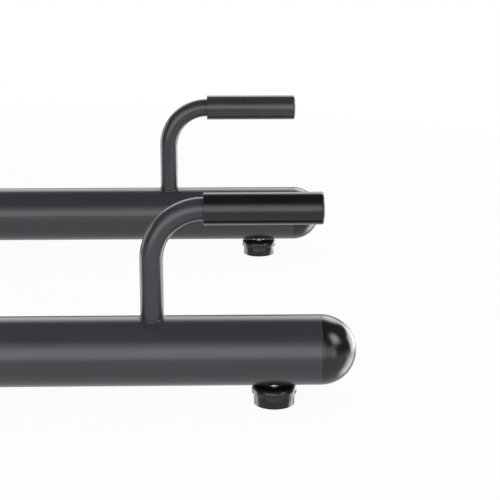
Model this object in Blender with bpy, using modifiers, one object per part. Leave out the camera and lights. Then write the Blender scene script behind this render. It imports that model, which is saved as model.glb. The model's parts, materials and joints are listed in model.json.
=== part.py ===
"""Free-standing station for pull-ups, dips, knee raises and push-ups.

Two round base rails stand on levelling feet and carry push-up handles at their front ends. Two uprights rise from
the rails, carry a back pad and two dip arms, and lean forward at the top to hold the pull-up bar.

Metres. The origin is on the floor under the middle of the rails, +X is the front, +Z is up, and left is +Y.
"""

import math

import bmesh
import bpy
from mathutils import Matrix, Vector

# Running and seating clearances
SEAT_GAP = 0.0003
BOLT_CLEARANCE = 0.0005

# Base rails
RAIL_LENGTH = 1.160
RAIL_RADIUS = 0.038
RAIL_WALL = 0.0025
RAIL_SPACING = 0.600
RAIL_AXIS_HEIGHT = 0.0605
RAIL_SIDES = 28

# Domed caps
CAP_SPIGOT_LENGTH = 0.025
CAP_SPIGOT_WALL = 0.004
CAP_DOME_RINGS = 5
CAP_CLEARANCE = 0.0008

# Push-up handles, measured from the rail's front tip and from the rail's axis
HANDLE_STEM_FROM_TIP = 0.219
HANDLE_RISE = 0.157
HANDLE_RADIUS = 0.0125
HANDLE_WALL = 0.002
HANDLE_BEND_RADIUS = 0.0555
PUSHUP_GRIP_FROM_BEND = 0.0002
PUSHUP_GRIP_LENGTH = 0.1262
PUSHUP_GRIP_RADIUS = 0.0175

# Sleeve grips in general
GRIP_EDGE_ROUND = 0.0015
GRIP_END_WALL = 0.004

# Levelling feet
FOOT_FROM_TIP = 0.0882
PAD_RADIUS = 0.022
PAD_HEIGHT = 0.0122
PAD_EDGE_ROUND = 0.001
PAD_FLOOR_WALL = 0.004
DISC_RADIUS = 0.02425
DISC_THICKNESS = 0.0084
DISC_EDGE_ROUND = 0.005
DISC_EDGE_STEPS = 3
DISC_EDGE_EASE = 0.0006
STUD_RADIUS = 0.006
STUD_LENGTH = 0.046
STUD_CHAMFER = 0.001
STUD_BUTTON_RADIUS = 0.009
STUD_BUTTON_HEIGHT = 0.004
BOSS_RADIUS = 0.011
BOSS_HEIGHT = 0.016
BOSS_BELOW_WALL_FACE = 0.002

# Uprights
UPRIGHT_FROM_REAR_TIP = 0.250
UPRIGHT_RADIUS = 0.030
UPRIGHT_WALL = 0.0025
UPRIGHT_BEND_HEIGHT = 1.720
UPRIGHT_BEND_RADIUS = 0.200
UPRIGHT_LEAN = math.radians(45.0)
UPRIGHT_LEANING_LENGTH = 0.350
UPRIGHT_SIDES = 24

# Cross tube in the base
CROSS_TUBE_RADIUS = 0.030
CROSS_TUBE_WALL = 0.0025
CROSS_TUBE_BEHIND_UPRIGHT = 0.090

# Pull-up bar
PULLUP_FROM_UPRIGHT_END = 0.060
PULLUP_RADIUS = 0.0167
PULLUP_WALL = 0.003
PULLUP_STRAIGHT_BESIDE_UPRIGHT = 0.045
PULLUP_BEND_RADIUS = 0.090
PULLUP_DROOP = math.radians(25.0)
PULLUP_END_LENGTH = 0.176
PULLUP_GRIP_LENGTH = 0.150
PULLUP_GRIP_RADIUS = 0.0215

# Back pad and what carries it
CROSSMEMBER_RADIUS = 0.019
CROSSMEMBER_WALL = 0.002
CROSSMEMBER_SPACING = 0.400
BACK_BOARD_HEIGHT = 1.260
BACK_BOARD_WIDTH = 0.255
BACK_BOARD_LENGTH = 0.620
BACK_BOARD_THICKNESS = 0.015
BACK_BOARD_CORNER = 0.035
BACK_PAD_THICKNESS = 0.055
CUSHION_OVERHANG = 0.008
CUSHION_CROWN = 0.009
CUSHION_SIDE_DRAW = 0.012
CUSHION_END_DRAW = 0.008

# Dip arms
DIP_HEIGHT = 1.220
ARM_REACH = 0.360
ARM_RADIUS = 0.020
ARM_WALL = 0.003
ARM_SHELL_THICKNESS = 0.005
ARM_SHELL_HEIGHT = 0.130
ARM_SHELL_FROM_MIDDLE = 0.003
ARM_BOLT_SPACING = 0.100

# Handles and grips on the arms
ARM_HANDLE_INSERT = 0.060
ARM_HANDLE_WALL = 0.003
ARM_HANDLE_BEND_RADIUS = 0.057
ARM_GRIP_RADIUS = 0.022
ARM_GRIP_SPACE = 0.006
DIP_GRIP_LENGTH = 0.128
KNEE_GRIP_LENGTH = 0.120

# Forearm pads
FOREARM_BOARD_LENGTH = 0.270
FOREARM_BOARD_WIDTH = 0.090
FOREARM_BOARD_THICKNESS = 0.012
FOREARM_BOARD_CORNER = 0.025
FOREARM_PAD_THICKNESS = 0.045
FOREARM_BOARD_FROM_UPRIGHT = 0.063
FOREARM_BOLT_SPACING = 0.150

# Fasteners: shank radius, then width across the flats, head or nut height
ARM_BOLT = (0.005, 0.017, 0.0064)
ARM_NUT_HEIGHT = 0.008
ARM_BOLT_END = 0.003
PAD_BOLT = (0.004, 0.013, 0.0053)
PAD_BOLT_COVER = 0.002

# Worked out from the sizes above
RAIL_TIP = RAIL_LENGTH / 2
RAIL_TUBE_END = RAIL_TIP - RAIL_RADIUS - SEAT_GAP
RAIL_Y = RAIL_SPACING / 2
HANDLE_X = RAIL_TIP - HANDLE_STEM_FROM_TIP
FOOT_X = RAIL_TIP - FOOT_FROM_TIP
UPRIGHT_X = UPRIGHT_FROM_REAR_TIP - RAIL_TIP
DISC_BOTTOM = PAD_HEIGHT + SEAT_GAP
STUD_BOTTOM = PAD_FLOOR_WALL + SEAT_GAP
ARM_END = UPRIGHT_X + ARM_REACH
ARM_HANDLE_RADIUS = ARM_RADIUS - ARM_WALL - SEAT_GAP
ARM_SHELL_RADIUS = UPRIGHT_RADIUS + SEAT_GAP + ARM_SHELL_THICKNESS
FOREARM_BOARD_BOTTOM = DIP_HEIGHT + ARM_RADIUS + SEAT_GAP
FOREARM_BOARD_X = UPRIGHT_X + FOREARM_BOARD_FROM_UPRIGHT + FOREARM_BOARD_LENGTH / 2
BACK_BOARD_X = UPRIGHT_X + CROSSMEMBER_RADIUS + SEAT_GAP
CROSSMEMBER_HEIGHTS = {
    "lower": BACK_BOARD_HEIGHT - CROSSMEMBER_SPACING / 2,
    "upper": BACK_BOARD_HEIGHT + CROSSMEMBER_SPACING / 2,
}
SIDES = (("left", 1), ("right", -1))
ENDS = (("front", 1), ("rear", -1))

# Facets round the smaller pieces and along a bend
TUBE_SIDES = 18
THIN_TUBE_SIDES = 14
FOOT_SIDES = 24
BOLT_SIDES = 12
BEND_STEPS = 5
SMOOTH_ANGLE = math.radians(40.0)

X = Vector((1, 0, 0))
Y = Vector((0, 1, 0))
Z = Vector((0, 0, 1))


def clear_scene():
    for obj in list(bpy.data.objects):
        bpy.data.objects.remove(obj, do_unlink=True)


def new_collection(name):
    collection = bpy.data.collections.new(name)
    bpy.context.scene.collection.children.link(collection)
    return collection


def new_material(name, colour, roughness, metallic):
    material = bpy.data.materials.new(name)
    material.use_nodes = True
    shader = material.node_tree.nodes["Principled BSDF"]
    shader.inputs["Base Color"].default_value = (*colour, 1.0)
    shader.inputs["Roughness"].default_value = roughness
    shader.inputs["Metallic"].default_value = metallic
    material.diffuse_color = (*colour, 1.0)
    return material


clear_scene()
PARTS = new_collection("pullup_dip_station")
CUTTERS = new_collection("cutters")
PAINT = new_material("slate_paint", (0.055, 0.058, 0.066), 0.35, 0.0)
BLACK_PLASTIC = new_material("black_plastic", (0.010, 0.010, 0.011), 0.20, 0.0)
BLACK_RUBBER = new_material("black_rubber", (0.014, 0.014, 0.015), 0.40, 0.0)
ZINC = new_material("zinc_plate", (0.60, 0.60, 0.58), 0.30, 1.0)
VINYL = new_material("black_vinyl", (0.020, 0.020, 0.021), 0.45, 0.0)
PLYWOOD = new_material("plywood", (0.45, 0.32, 0.19), 0.65, 0.0)


def along(direction, origin=(0, 0, 0)):
    """Matrix that puts a piece's own +Z on a direction and its origin on a point."""
    turn = Vector(direction).normalized().to_track_quat("Z", "Y").to_matrix().to_4x4()
    return Matrix.Translation(origin) @ turn


def from_bmesh(name, bm):
    mesh = bpy.data.meshes.new(name)
    bm.to_mesh(mesh)
    bm.free()
    return bpy.data.objects.new(name, mesh)


def turned(name, profile, sides, place, closed=False):
    """A profile of (radius, height) points turned about +Z. It runs down the outer side."""
    bm = bmesh.new()
    points = [bm.verts.new((radius, 0, height)) for radius, height in profile]
    for first, second in zip(points, points[1:] + points[:1] if closed else points[1:]):
        bm.edges.new((first, second))
    obj = from_bmesh(name, bm)
    screw = obj.modifiers.new("Turn", "SCREW")
    screw.steps = sides
    screw.render_steps = sides
    screw.use_merge_vertices = True
    screw.merge_threshold = 0.00005
    obj.matrix_world = place
    return obj


def ring_profile(outer, inner, low, high):
    return [(outer, high), (outer, low), (inner, low), (inner, high)]


def rod(name, radius, length, sides, place):
    """A plain round bar from its place along +Z."""
    return turned(name, [(0, length), (radius, length), (radius, 0), (0, 0)], sides, place)


def as_mesh(obj):
    """Replaces a curve, or an object with modifiers, by a plain mesh object with its caps welded."""
    bpy.context.view_layer.update()
    evaluated = obj.evaluated_get(bpy.context.evaluated_depsgraph_get())
    mesh = bpy.data.meshes.new_from_object(evaluated)
    bm = bmesh.new()
    bm.from_mesh(mesh)
    bmesh.ops.remove_doubles(bm, verts=bm.verts, dist=0.00002)
    bm.to_mesh(mesh)
    bm.free()
    name = obj.name
    place = obj.matrix_world.copy()
    bpy.data.objects.remove(obj, do_unlink=True)
    result = bpy.data.objects.new(name, mesh)
    result.matrix_world = place
    return result


def as_mesh_piece(obj):
    """Turns a piece with modifiers into a plain mesh, for a piece that is then joined or cut."""
    CUTTERS.objects.link(obj)
    return as_mesh(obj)


def in_cutters(obj):
    CUTTERS.objects.link(obj)
    obj.hide_render = True
    obj.display_type = "WIRE"
    return obj


def boolean(obj, other, operation):
    """Joins another solid to a piece, or cuts it away."""
    step = obj.modifiers.new(operation.title(), "BOOLEAN")
    step.operation = operation
    step.solver = "EXACT"
    step.object = other if other.name in CUTTERS.objects else in_cutters(other)


def finish(obj, material):
    """Puts a finished solid in the parts collection, with round surfaces shaded smooth."""
    PARTS.objects.link(obj)
    if obj.type == "CURVE" or obj.modifiers:
        obj = as_mesh(obj)
        PARTS.objects.link(obj)
    obj.data.materials.clear()
    obj.data.materials.append(material)
    obj.data.shade_smooth()
    obj.data.set_sharp_from_angle(angle=SMOOTH_ANGLE)
    return obj


def tube_mesh(name, path, radius, sides):
    """A round bar along a list of points, as a closed mesh."""
    curve = bpy.data.curves.new(name, "CURVE")
    curve.dimensions = "3D"
    curve.bevel_depth = radius
    curve.bevel_resolution = sides // 2 - 2
    curve.use_fill_caps = True
    spline = curve.splines.new("POLY")
    spline.points.add(len(path) - 1)
    for point, place in zip(spline.points, path):
        point.co = (*place, 1)
    obj = bpy.data.objects.new(name, curve)
    CUTTERS.objects.link(obj)
    return as_mesh(obj)


def bend(start, end, corner, radius, steps=BEND_STEPS):
    """Points of the arc that rounds a corner between two straight runs."""
    back = (Vector(start) - Vector(corner)).normalized()
    ahead = (Vector(end) - Vector(corner)).normalized()
    half_angle = back.angle(ahead) / 2
    centre = Vector(corner) + (back + ahead).normalized() * radius / math.sin(half_angle)
    first = Vector(corner) + back * radius / math.tan(half_angle) - centre
    turn = math.pi - 2 * half_angle
    axis = back.cross(ahead).normalized()
    return [centre + Matrix.Rotation(-turn * i / steps, 3, axis) @ first for i in range(steps + 1)]


def bent_tube(name, path, radius, wall, sides):
    """A hollow tube along a path, open at both ends."""
    outer = tube_mesh(name, path, radius, sides)
    first = path[0] + (path[0] - path[1]).normalized() * radius
    last = path[-1] + (path[-1] - path[-2]).normalized() * radius
    bore = tube_mesh(name + "_bore", [first, *path[1:-1], last], radius - wall, sides)
    boolean(outer, bore, "DIFFERENCE")
    return outer


def straight_tube(name, radius, wall, length, sides, place):
    """A hollow tube centred on its place, along +Z."""
    return turned(name, ring_profile(radius, radius - wall, -length / 2, length / 2), sides, place, closed=True)


def domed_cap(name, radius, wall, sides, place):
    """A hemispherical plug. Its place is the centre of the tube's end, with +Z outwards."""
    spigot = radius - wall - CAP_CLEARANCE
    bore = spigot - CAP_SPIGOT_WALL
    profile = []
    for ring in range(CAP_DOME_RINGS + 1):
        angle = math.radians(90) * (1 - ring / CAP_DOME_RINGS)
        profile.append((radius * math.cos(angle) if ring else 0, SEAT_GAP + radius * math.sin(angle)))
    profile += [(spigot, SEAT_GAP), (spigot, -CAP_SPIGOT_LENGTH), (bore, -CAP_SPIGOT_LENGTH)]
    profile += [(bore, 0), (0, bore / 2)]
    return finish(turned(name, profile, sides, place), BLACK_PLASTIC)


def sleeve_grip(name, radius, bore, length, closed_end, place, material):
    """A grip from its place along +Z, open at the near end and open or closed at the far one."""
    edge = GRIP_EDGE_ROUND
    far = [(radius - edge, length), (radius, length - edge)]
    near = [(radius, edge), (radius - edge, 0), (bore, 0)]
    if closed_end:
        profile = [(0, length), *far, *near, (bore, length - GRIP_END_WALL), (0, length - GRIP_END_WALL)]
    else:
        profile = [*far, *near, (bore, length)]
    return finish(turned(name, profile, TUBE_SIDES, place, closed=not closed_end), material)


def rounded_plate(name, width, length, thickness, corner, place):
    """A plate with round corners, its thickness up from its place along +Z."""
    curve = bpy.data.curves.new(name, "CURVE")
    curve.dimensions = "2D"
    curve.fill_mode = "BOTH"
    curve.extrude = thickness / 2
    outline = []
    for turn, (across, up) in enumerate(((1, 1), (-1, 1), (-1, -1), (1, -1))):
        for step in range(BEND_STEPS + 1):
            angle = math.radians(90) * (turn + step / BEND_STEPS)
            centre_x = across * (width / 2 - corner)
            centre_y = up * (length / 2 - corner)
            outline.append((centre_x + corner * math.cos(angle), centre_y + corner * math.sin(angle)))
    spline = curve.splines.new("POLY")
    spline.points.add(len(outline) - 1)
    for point, (across, up) in zip(spline.points, outline):
        point.co = (across, up, 0, 1)
    spline.use_cyclic_u = True
    obj = bpy.data.objects.new(name, curve)
    obj.matrix_world = place @ Matrix.Translation((0, 0, thickness / 2))
    CUTTERS.objects.link(obj)
    return as_mesh(obj)


def cushion(name, width, length, thickness, cuts, levels, place):
    """An upholstered pad on its flat back: crowned front, and sides drawn in between the corners."""
    bm = bmesh.new()
    bmesh.ops.create_cube(bm, size=1.0)
    bmesh.ops.subdivide_edges(bm, edges=bm.edges, cuts=cuts, use_grid_fill=True)
    crease = bm.edges.layers.float.new("crease_edge")
    on_back = {vert for vert in bm.verts if vert.co.z < 0 and abs(vert.co.z + 0.5) < 0.001}
    for edge in bm.edges:
        rim = all(max(abs(vert.co.x), abs(vert.co.y)) > 0.499 for vert in edge.verts)
        edge[crease] = 1.0 if rim and on_back.issuperset(edge.verts) else 0.0
    for vert in bm.verts:
        across, up, height = 2 * vert.co
        drawn = 0 if vert in on_back else 1
        middle = (1 - across**2) * (1 - up**2)
        vert.co.x = across * (width / 2 - drawn * CUSHION_SIDE_DRAW * (1 - up**2))
        vert.co.y = up * (length / 2 - drawn * CUSHION_END_DRAW * (1 - across**2))
        vert.co.z = (height + 1) / 2 * (thickness - CUSHION_CROWN * (1 - middle))
    obj = from_bmesh(name, bm)
    smooth = obj.modifiers.new("Soft form", "SUBSURF")
    smooth.levels = levels
    smooth.render_levels = levels
    obj.matrix_world = place
    return finish(obj, VINYL)


def hexagon(name, flats, height, place):
    """A six-sided prism up from its place."""
    return rod(name, flats / math.sqrt(3), height, 6, place)


def hex_bolt(name, size, length, place):
    """A bolt whose head's underside is at its place and whose shank runs along +Z."""
    radius, flats, head = size
    inside_head = place @ Matrix.Translation((0, 0, -head / 2))
    shank = as_mesh_piece(rod(name, radius, length + head / 2, BOLT_SIDES, inside_head))
    boolean(shank, hexagon(name + "_head", flats, head, place @ Matrix.Translation((0, 0, -head))), "UNION")
    return finish(shank, ZINC)


def hex_nut(name, size, height, place):
    """A nut up from its place, with room for its bolt."""
    radius, flats, _ = size
    nut = as_mesh_piece(hexagon(name, flats, height, place))
    below = place @ Matrix.Translation((0, 0, -height))
    bore = rod(name + "_bore", radius + SEAT_GAP, 3 * height, BOLT_SIDES, below)
    boolean(nut, bore, "DIFFERENCE")
    return finish(nut, ZINC)


def half_facet(sides):
    """Turns a cutter so that its edges don't meet the edges of the tube that it cuts."""
    return Matrix.Rotation(math.pi / sides, 4, "Z")


def bolt_hole(name, radius, start, direction, length):
    place = along(direction, start) @ half_facet(BOLT_SIDES)
    return rod(name, radius + BOLT_CLEARANCE, length, BOLT_SIDES, place)


def foot_places():
    for end, ahead in ENDS:
        for side, across in SIDES:
            yield f"{end}_{side}", Vector((ahead * FOOT_X, across * RAIL_Y, 0))


def rail_saddle(name, across):
    """The cutter that fits a welded tube's end to the outside of a rail."""
    place = along(X, (-RAIL_LENGTH, across * RAIL_Y, RAIL_AXIS_HEIGHT))
    return rod(name, RAIL_RADIUS + SEAT_GAP, 2 * RAIL_LENGTH, RAIL_SIDES, place)


def build_rails():
    for side, across in SIDES:
        axis = Vector((0, across * RAIL_Y, RAIL_AXIS_HEIGHT))
        rail = as_mesh_piece(
            straight_tube(
                f"base_rail_{side}", RAIL_RADIUS, RAIL_WALL, 2 * RAIL_TUBE_END, RAIL_SIDES, along(X, axis)
            )
        )
        in_the_wall = RAIL_AXIS_HEIGHT - RAIL_RADIUS + BOSS_BELOW_WALL_FACE
        for end, ahead in ENDS:
            boss_place = along(Z, (ahead * FOOT_X, across * RAIL_Y, in_the_wall))
            boolean(rail, rod(f"boss_{end}_{side}", BOSS_RADIUS, BOSS_HEIGHT, TUBE_SIDES, boss_place), "UNION")
        for end, ahead in ENDS:
            below = along(Z, (ahead * FOOT_X, across * RAIL_Y, in_the_wall - BOSS_HEIGHT))
            bore = rod(f"stud_bore_{end}_{side}", STUD_RADIUS + SEAT_GAP, 3 * BOSS_HEIGHT, THIN_TUBE_SIDES, below)
            boolean(rail, bore, "DIFFERENCE")
        finish(rail, PAINT)
        for end, ahead in ENDS:
            place = along(ahead * X, axis + ahead * RAIL_TUBE_END * X)
            domed_cap(f"rail_cap_{end}_{side}", RAIL_RADIUS, RAIL_WALL, RAIL_SIDES, place)


def build_pushup_handles():
    for side, across in SIDES:
        base = Vector((HANDLE_X, across * RAIL_Y, RAIL_AXIS_HEIGHT))
        corner = base + HANDLE_RISE * Z
        grip_start = corner + (HANDLE_BEND_RADIUS + PUSHUP_GRIP_FROM_BEND) * X
        end = grip_start + (PUSHUP_GRIP_LENGTH - GRIP_END_WALL - SEAT_GAP) * X
        path = [base, *bend(base, end, corner, HANDLE_BEND_RADIUS), end]
        handle = bent_tube(f"pushup_handle_{side}", path, HANDLE_RADIUS, HANDLE_WALL, THIN_TUBE_SIDES)
        boolean(handle, rail_saddle(f"handle_saddle_{side}", across), "DIFFERENCE")
        finish(handle, PAINT)
        material = PAINT if side == "left" else BLACK_RUBBER
        sleeve_grip(
            f"pushup_grip_{side}",
            PUSHUP_GRIP_RADIUS,
            HANDLE_RADIUS + SEAT_GAP,
            PUSHUP_GRIP_LENGTH,
            True,
            along(X, grip_start),
            material,
        )


def foot_pad(name, parent):
    """The pad on the floor, with a pocket for the stud's button."""
    edge = PAD_EDGE_ROUND
    soft = edge * (1 - math.sqrt(0.5))
    pocket = STUD_BUTTON_RADIUS + SEAT_GAP
    profile = [(pocket, PAD_HEIGHT), (PAD_RADIUS, PAD_HEIGHT), (PAD_RADIUS, edge)]
    profile += [(PAD_RADIUS - soft, soft), (PAD_RADIUS - edge, 0), (0, 0)]
    profile = [(0, PAD_FLOOR_WALL), (pocket, PAD_FLOOR_WALL), *profile]
    pad = finish(turned(name, profile, FOOT_SIDES, Matrix()), BLACK_RUBBER)
    pad.parent = parent


def foot_disc(name, parent):
    """The thick flange disc with a rounded upper edge, turned by hand with the stud."""
    bore = STUD_RADIUS + SEAT_GAP
    profile = [(bore, DISC_THICKNESS)]
    for step in range(DISC_EDGE_STEPS + 1):
        angle = math.radians(90) * (1 - step / DISC_EDGE_STEPS)
        out = DISC_RADIUS - DISC_EDGE_ROUND * (1 - math.cos(angle))
        profile.append((out, DISC_THICKNESS - DISC_EDGE_ROUND * (1 - math.sin(angle))))
    profile += [(DISC_RADIUS, DISC_EDGE_EASE), (DISC_RADIUS - DISC_EDGE_EASE, 0), (bore, 0)]
    place = Matrix.Translation((0, 0, DISC_BOTTOM))
    disc = finish(turned(name, profile, FOOT_SIDES, place, closed=True), BLACK_PLASTIC)
    disc.parent = parent


def foot_stud(name, parent):
    """The threaded stud, with a button at its lower end that turns in the pad."""
    top = STUD_LENGTH
    profile = [(0, top), (STUD_RADIUS - STUD_CHAMFER, top), (STUD_RADIUS, top - STUD_CHAMFER)]
    profile += [(STUD_RADIUS, STUD_BUTTON_HEIGHT), (STUD_BUTTON_RADIUS, STUD_BUTTON_HEIGHT)]
    profile += [(STUD_BUTTON_RADIUS, 0), (0, 0)]
    stud = finish(turned(name, profile, THIN_TUBE_SIDES, Matrix.Translation((0, 0, STUD_BOTTOM))), ZINC)
    stud.parent = parent


def build_feet():
    for name, place in foot_places():
        axis = bpy.data.objects.new(f"foot_axis_{name}", None)
        axis.location = place
        PARTS.objects.link(axis)
        foot_pad(f"foot_pad_{name}", axis)
        foot_disc(f"foot_disc_{name}", axis)
        foot_stud(f"foot_stud_{name}", axis)


def upright_path(across):
    foot = Vector((UPRIGHT_X, across * RAIL_Y, RAIL_AXIS_HEIGHT))
    lean = Vector((math.sin(UPRIGHT_LEAN), 0, math.cos(UPRIGHT_LEAN)))
    corner_rise = UPRIGHT_BEND_RADIUS * math.tan(UPRIGHT_LEAN / 2)
    corner = Vector((UPRIGHT_X, across * RAIL_Y, UPRIGHT_BEND_HEIGHT + corner_rise))
    end = corner + (corner_rise + UPRIGHT_LEANING_LENGTH) * lean
    return [foot, *bend(foot, end, corner, UPRIGHT_BEND_RADIUS), end], lean


def pullup_centre():
    path, lean = upright_path(0)
    return path[-1] - PULLUP_FROM_UPRIGHT_END * lean


def arm_bolt_places():
    for level, up in (("upper", 1), ("lower", -1)):
        for side, across in SIDES:
            height = DIP_HEIGHT + up * ARM_BOLT_SPACING / 2
            yield f"{level}_{side}", Vector((UPRIGHT_X, across * RAIL_Y, height))


def build_uprights():
    for side, across in SIDES:
        path, lean = upright_path(across)
        upright = bent_tube(f"upright_{side}", path, UPRIGHT_RADIUS, UPRIGHT_WALL, UPRIGHT_SIDES)
        boolean(upright, rail_saddle(f"upright_saddle_{side}", across), "DIFFERENCE")
        bar_start = pullup_centre() + (across * RAIL_Y - 2 * UPRIGHT_RADIUS) * Y
        bar_hole = rod(
            f"bar_hole_{side}", PULLUP_RADIUS + SEAT_GAP, 4 * UPRIGHT_RADIUS, TUBE_SIDES, along(Y, bar_start)
        )
        boolean(upright, bar_hole, "DIFFERENCE")
        for name, place in arm_bolt_places():
            if name.endswith(side):
                start = place - 2 * UPRIGHT_RADIUS * X
                hole = bolt_hole(f"upright_hole_{name}", ARM_BOLT[0], start, X, 4 * UPRIGHT_RADIUS)
                boolean(upright, hole, "DIFFERENCE")
        finish(upright, PAINT)
        domed_cap(f"upright_cap_{side}", UPRIGHT_RADIUS, UPRIGHT_WALL, UPRIGHT_SIDES, along(lean, path[-1]))


def build_base_cross_tube():
    place = along(Y, (UPRIGHT_X - CROSS_TUBE_BEHIND_UPRIGHT, 0, RAIL_AXIS_HEIGHT))
    tube = as_mesh_piece(
        straight_tube("base_cross_tube", CROSS_TUBE_RADIUS, CROSS_TUBE_WALL, RAIL_SPACING, UPRIGHT_SIDES, place)
    )
    for side, across in SIDES:
        boolean(tube, rail_saddle(f"cross_saddle_{side}", across), "DIFFERENCE")
    finish(tube, PAINT)


def build_crossmembers():
    for level, height in CROSSMEMBER_HEIGHTS.items():
        name = f"crossmember_{level}"
        place = along(Y, (UPRIGHT_X, 0, height))
        member = as_mesh_piece(
            straight_tube(name, CROSSMEMBER_RADIUS, CROSSMEMBER_WALL, RAIL_SPACING, TUBE_SIDES, place)
        )
        for side, across in SIDES:
            below = (UPRIGHT_X, across * RAIL_Y, height - 2 * UPRIGHT_RADIUS)
            around = rod(
                f"{name}_saddle_{side}",
                UPRIGHT_RADIUS + SEAT_GAP,
                4 * UPRIGHT_RADIUS,
                UPRIGHT_SIDES,
                along(Z, below),
            )
            boolean(member, around, "DIFFERENCE")
        behind = (UPRIGHT_X - 2 * CROSSMEMBER_RADIUS, 0, height)
        boolean(member, bolt_hole(f"{name}_hole", PAD_BOLT[0], behind, X, 4 * CROSSMEMBER_RADIUS), "DIFFERENCE")
        finish(member, PAINT)


def build_back_pad():
    place = along(X, (BACK_BOARD_X, 0, BACK_BOARD_HEIGHT))
    board = rounded_plate(
        "back_board",
        BACK_BOARD_WIDTH,
        BACK_BOARD_LENGTH,
        BACK_BOARD_THICKNESS,
        BACK_BOARD_CORNER,
        place,
    )
    for level, height in CROSSMEMBER_HEIGHTS.items():
        start = (BACK_BOARD_X - BACK_BOARD_THICKNESS, 0, height)
        hole = bolt_hole(f"board_hole_{level}", PAD_BOLT[0], start, X, 3 * BACK_BOARD_THICKNESS)
        boolean(board, hole, "DIFFERENCE")
        behind = UPRIGHT_X - CROSSMEMBER_RADIUS - SEAT_GAP
        length = BACK_BOARD_X + BACK_BOARD_THICKNESS - PAD_BOLT_COVER - behind
        hex_bolt(f"back_pad_bolt_{level}", PAD_BOLT, length, along(X, (behind, 0, height)))
    finish(board, PLYWOOD)
    front = BACK_BOARD_X + BACK_BOARD_THICKNESS + SEAT_GAP
    cushion(
        "back_pad",
        BACK_BOARD_WIDTH + 2 * CUSHION_OVERHANG,
        BACK_BOARD_LENGTH + 2 * CUSHION_OVERHANG,
        BACK_PAD_THICKNESS,
        4,
        1,
        along(X, (front, 0, BACK_BOARD_HEIGHT)),
    )


def forearm_bolt_places():
    for end, ahead in ENDS:
        for side, across in SIDES:
            yield f"{end}_{side}", FOREARM_BOARD_X + ahead * FOREARM_BOLT_SPACING / 2, across * RAIL_Y


def behind_plane(name, plane_x, axis, size):
    """The cutter that takes away all that lies behind a plane across X."""
    bm = bmesh.new()
    bmesh.ops.create_cube(bm, size=2 * size)
    bmesh.ops.translate(bm, verts=bm.verts, vec=(plane_x - size, axis.y, axis.z))
    return from_bmesh(name, bm)


def arm_tube(side, axis):
    """The arm's own tube, its rear end shaped to lie inside the wall of the half shell."""
    middle = axis + ARM_REACH / 2 * X
    tube = as_mesh_piece(
        straight_tube(f"arm_tube_{side}", ARM_RADIUS, ARM_WALL, ARM_REACH, TUBE_SIDES, along(X, middle))
    )
    inside_wall = UPRIGHT_RADIUS + SEAT_GAP + ARM_SHELL_THICKNESS / 2
    place = along(Z, axis - ARM_SHELL_HEIGHT * Z) @ half_facet(UPRIGHT_SIDES)
    end = rod(f"arm_tube_end_{side}", inside_wall, 2 * ARM_SHELL_HEIGHT, UPRIGHT_SIDES, place)
    boolean(tube, end, "DIFFERENCE")
    return as_mesh_piece(tube)


def build_dip_arms():
    for side, across in SIDES:
        axis = Vector((UPRIGHT_X, across * RAIL_Y, DIP_HEIGHT))
        shell = straight_tube(
            f"dip_arm_{side}",
            ARM_SHELL_RADIUS,
            ARM_SHELL_THICKNESS,
            ARM_SHELL_HEIGHT,
            UPRIGHT_SIDES,
            along(Z, axis),
        )
        arm = as_mesh_piece(shell)
        plane_x = UPRIGHT_X + ARM_SHELL_FROM_MIDDLE
        boolean(arm, behind_plane(f"arm_rear_{side}", plane_x, axis, 2 * ARM_SHELL_HEIGHT), "DIFFERENCE")
        boolean(arm, arm_tube(side, axis), "UNION")
        for name, place in arm_bolt_places():
            if name.endswith(side):
                hole = bolt_hole(f"arm_hole_{name}", ARM_BOLT[0], place, X, 4 * UPRIGHT_RADIUS)
                boolean(arm, hole, "DIFFERENCE")
        for name, bolt_x, bolt_y in forearm_bolt_places():
            if name.endswith(side):
                start = (bolt_x, bolt_y, DIP_HEIGHT - 2 * ARM_RADIUS)
                hole = bolt_hole(f"arm_pad_hole_{name}", PAD_BOLT[0], start, Z, 4 * ARM_RADIUS)
                boolean(arm, hole, "DIFFERENCE")
        finish(arm, PAINT)
    for name, place in arm_bolt_places():
        front = place + (ARM_SHELL_RADIUS + SEAT_GAP) * X
        back = place - (UPRIGHT_RADIUS + SEAT_GAP) * X
        length = front.x - back.x + ARM_NUT_HEIGHT + ARM_BOLT_END
        hex_bolt(f"arm_bolt_{name}", ARM_BOLT, length, along(-X, front))
        hex_nut(f"arm_nut_{name}", ARM_BOLT, ARM_NUT_HEIGHT, along(-X, back))


def build_arm_handles():
    for side, across in SIDES:
        start = Vector((ARM_END - ARM_HANDLE_INSERT, across * RAIL_Y, DIP_HEIGHT))
        grip_start = Vector((ARM_END + ARM_GRIP_SPACE, across * RAIL_Y, DIP_HEIGHT))
        bend_start = grip_start + (DIP_GRIP_LENGTH + ARM_GRIP_SPACE) * X
        corner = bend_start + ARM_HANDLE_BEND_RADIUS * X
        knee_start = corner + (ARM_HANDLE_BEND_RADIUS + ARM_GRIP_SPACE) * Z
        end = knee_start + (KNEE_GRIP_LENGTH - GRIP_END_WALL - SEAT_GAP) * Z
        path = [start, *bend(start, end, corner, ARM_HANDLE_BEND_RADIUS), end]
        name = f"arm_handle_{side}"
        finish(bent_tube(name, path, ARM_HANDLE_RADIUS, ARM_HANDLE_WALL, THIN_TUBE_SIDES), PAINT)
        bore = ARM_HANDLE_RADIUS + SEAT_GAP
        place = along(X, grip_start)
        sleeve_grip(f"dip_grip_{side}", ARM_GRIP_RADIUS, bore, DIP_GRIP_LENGTH, False, place, BLACK_RUBBER)
        place = along(Z, knee_start)
        sleeve_grip(f"knee_grip_{side}", ARM_GRIP_RADIUS, bore, KNEE_GRIP_LENGTH, True, place, BLACK_RUBBER)


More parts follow.
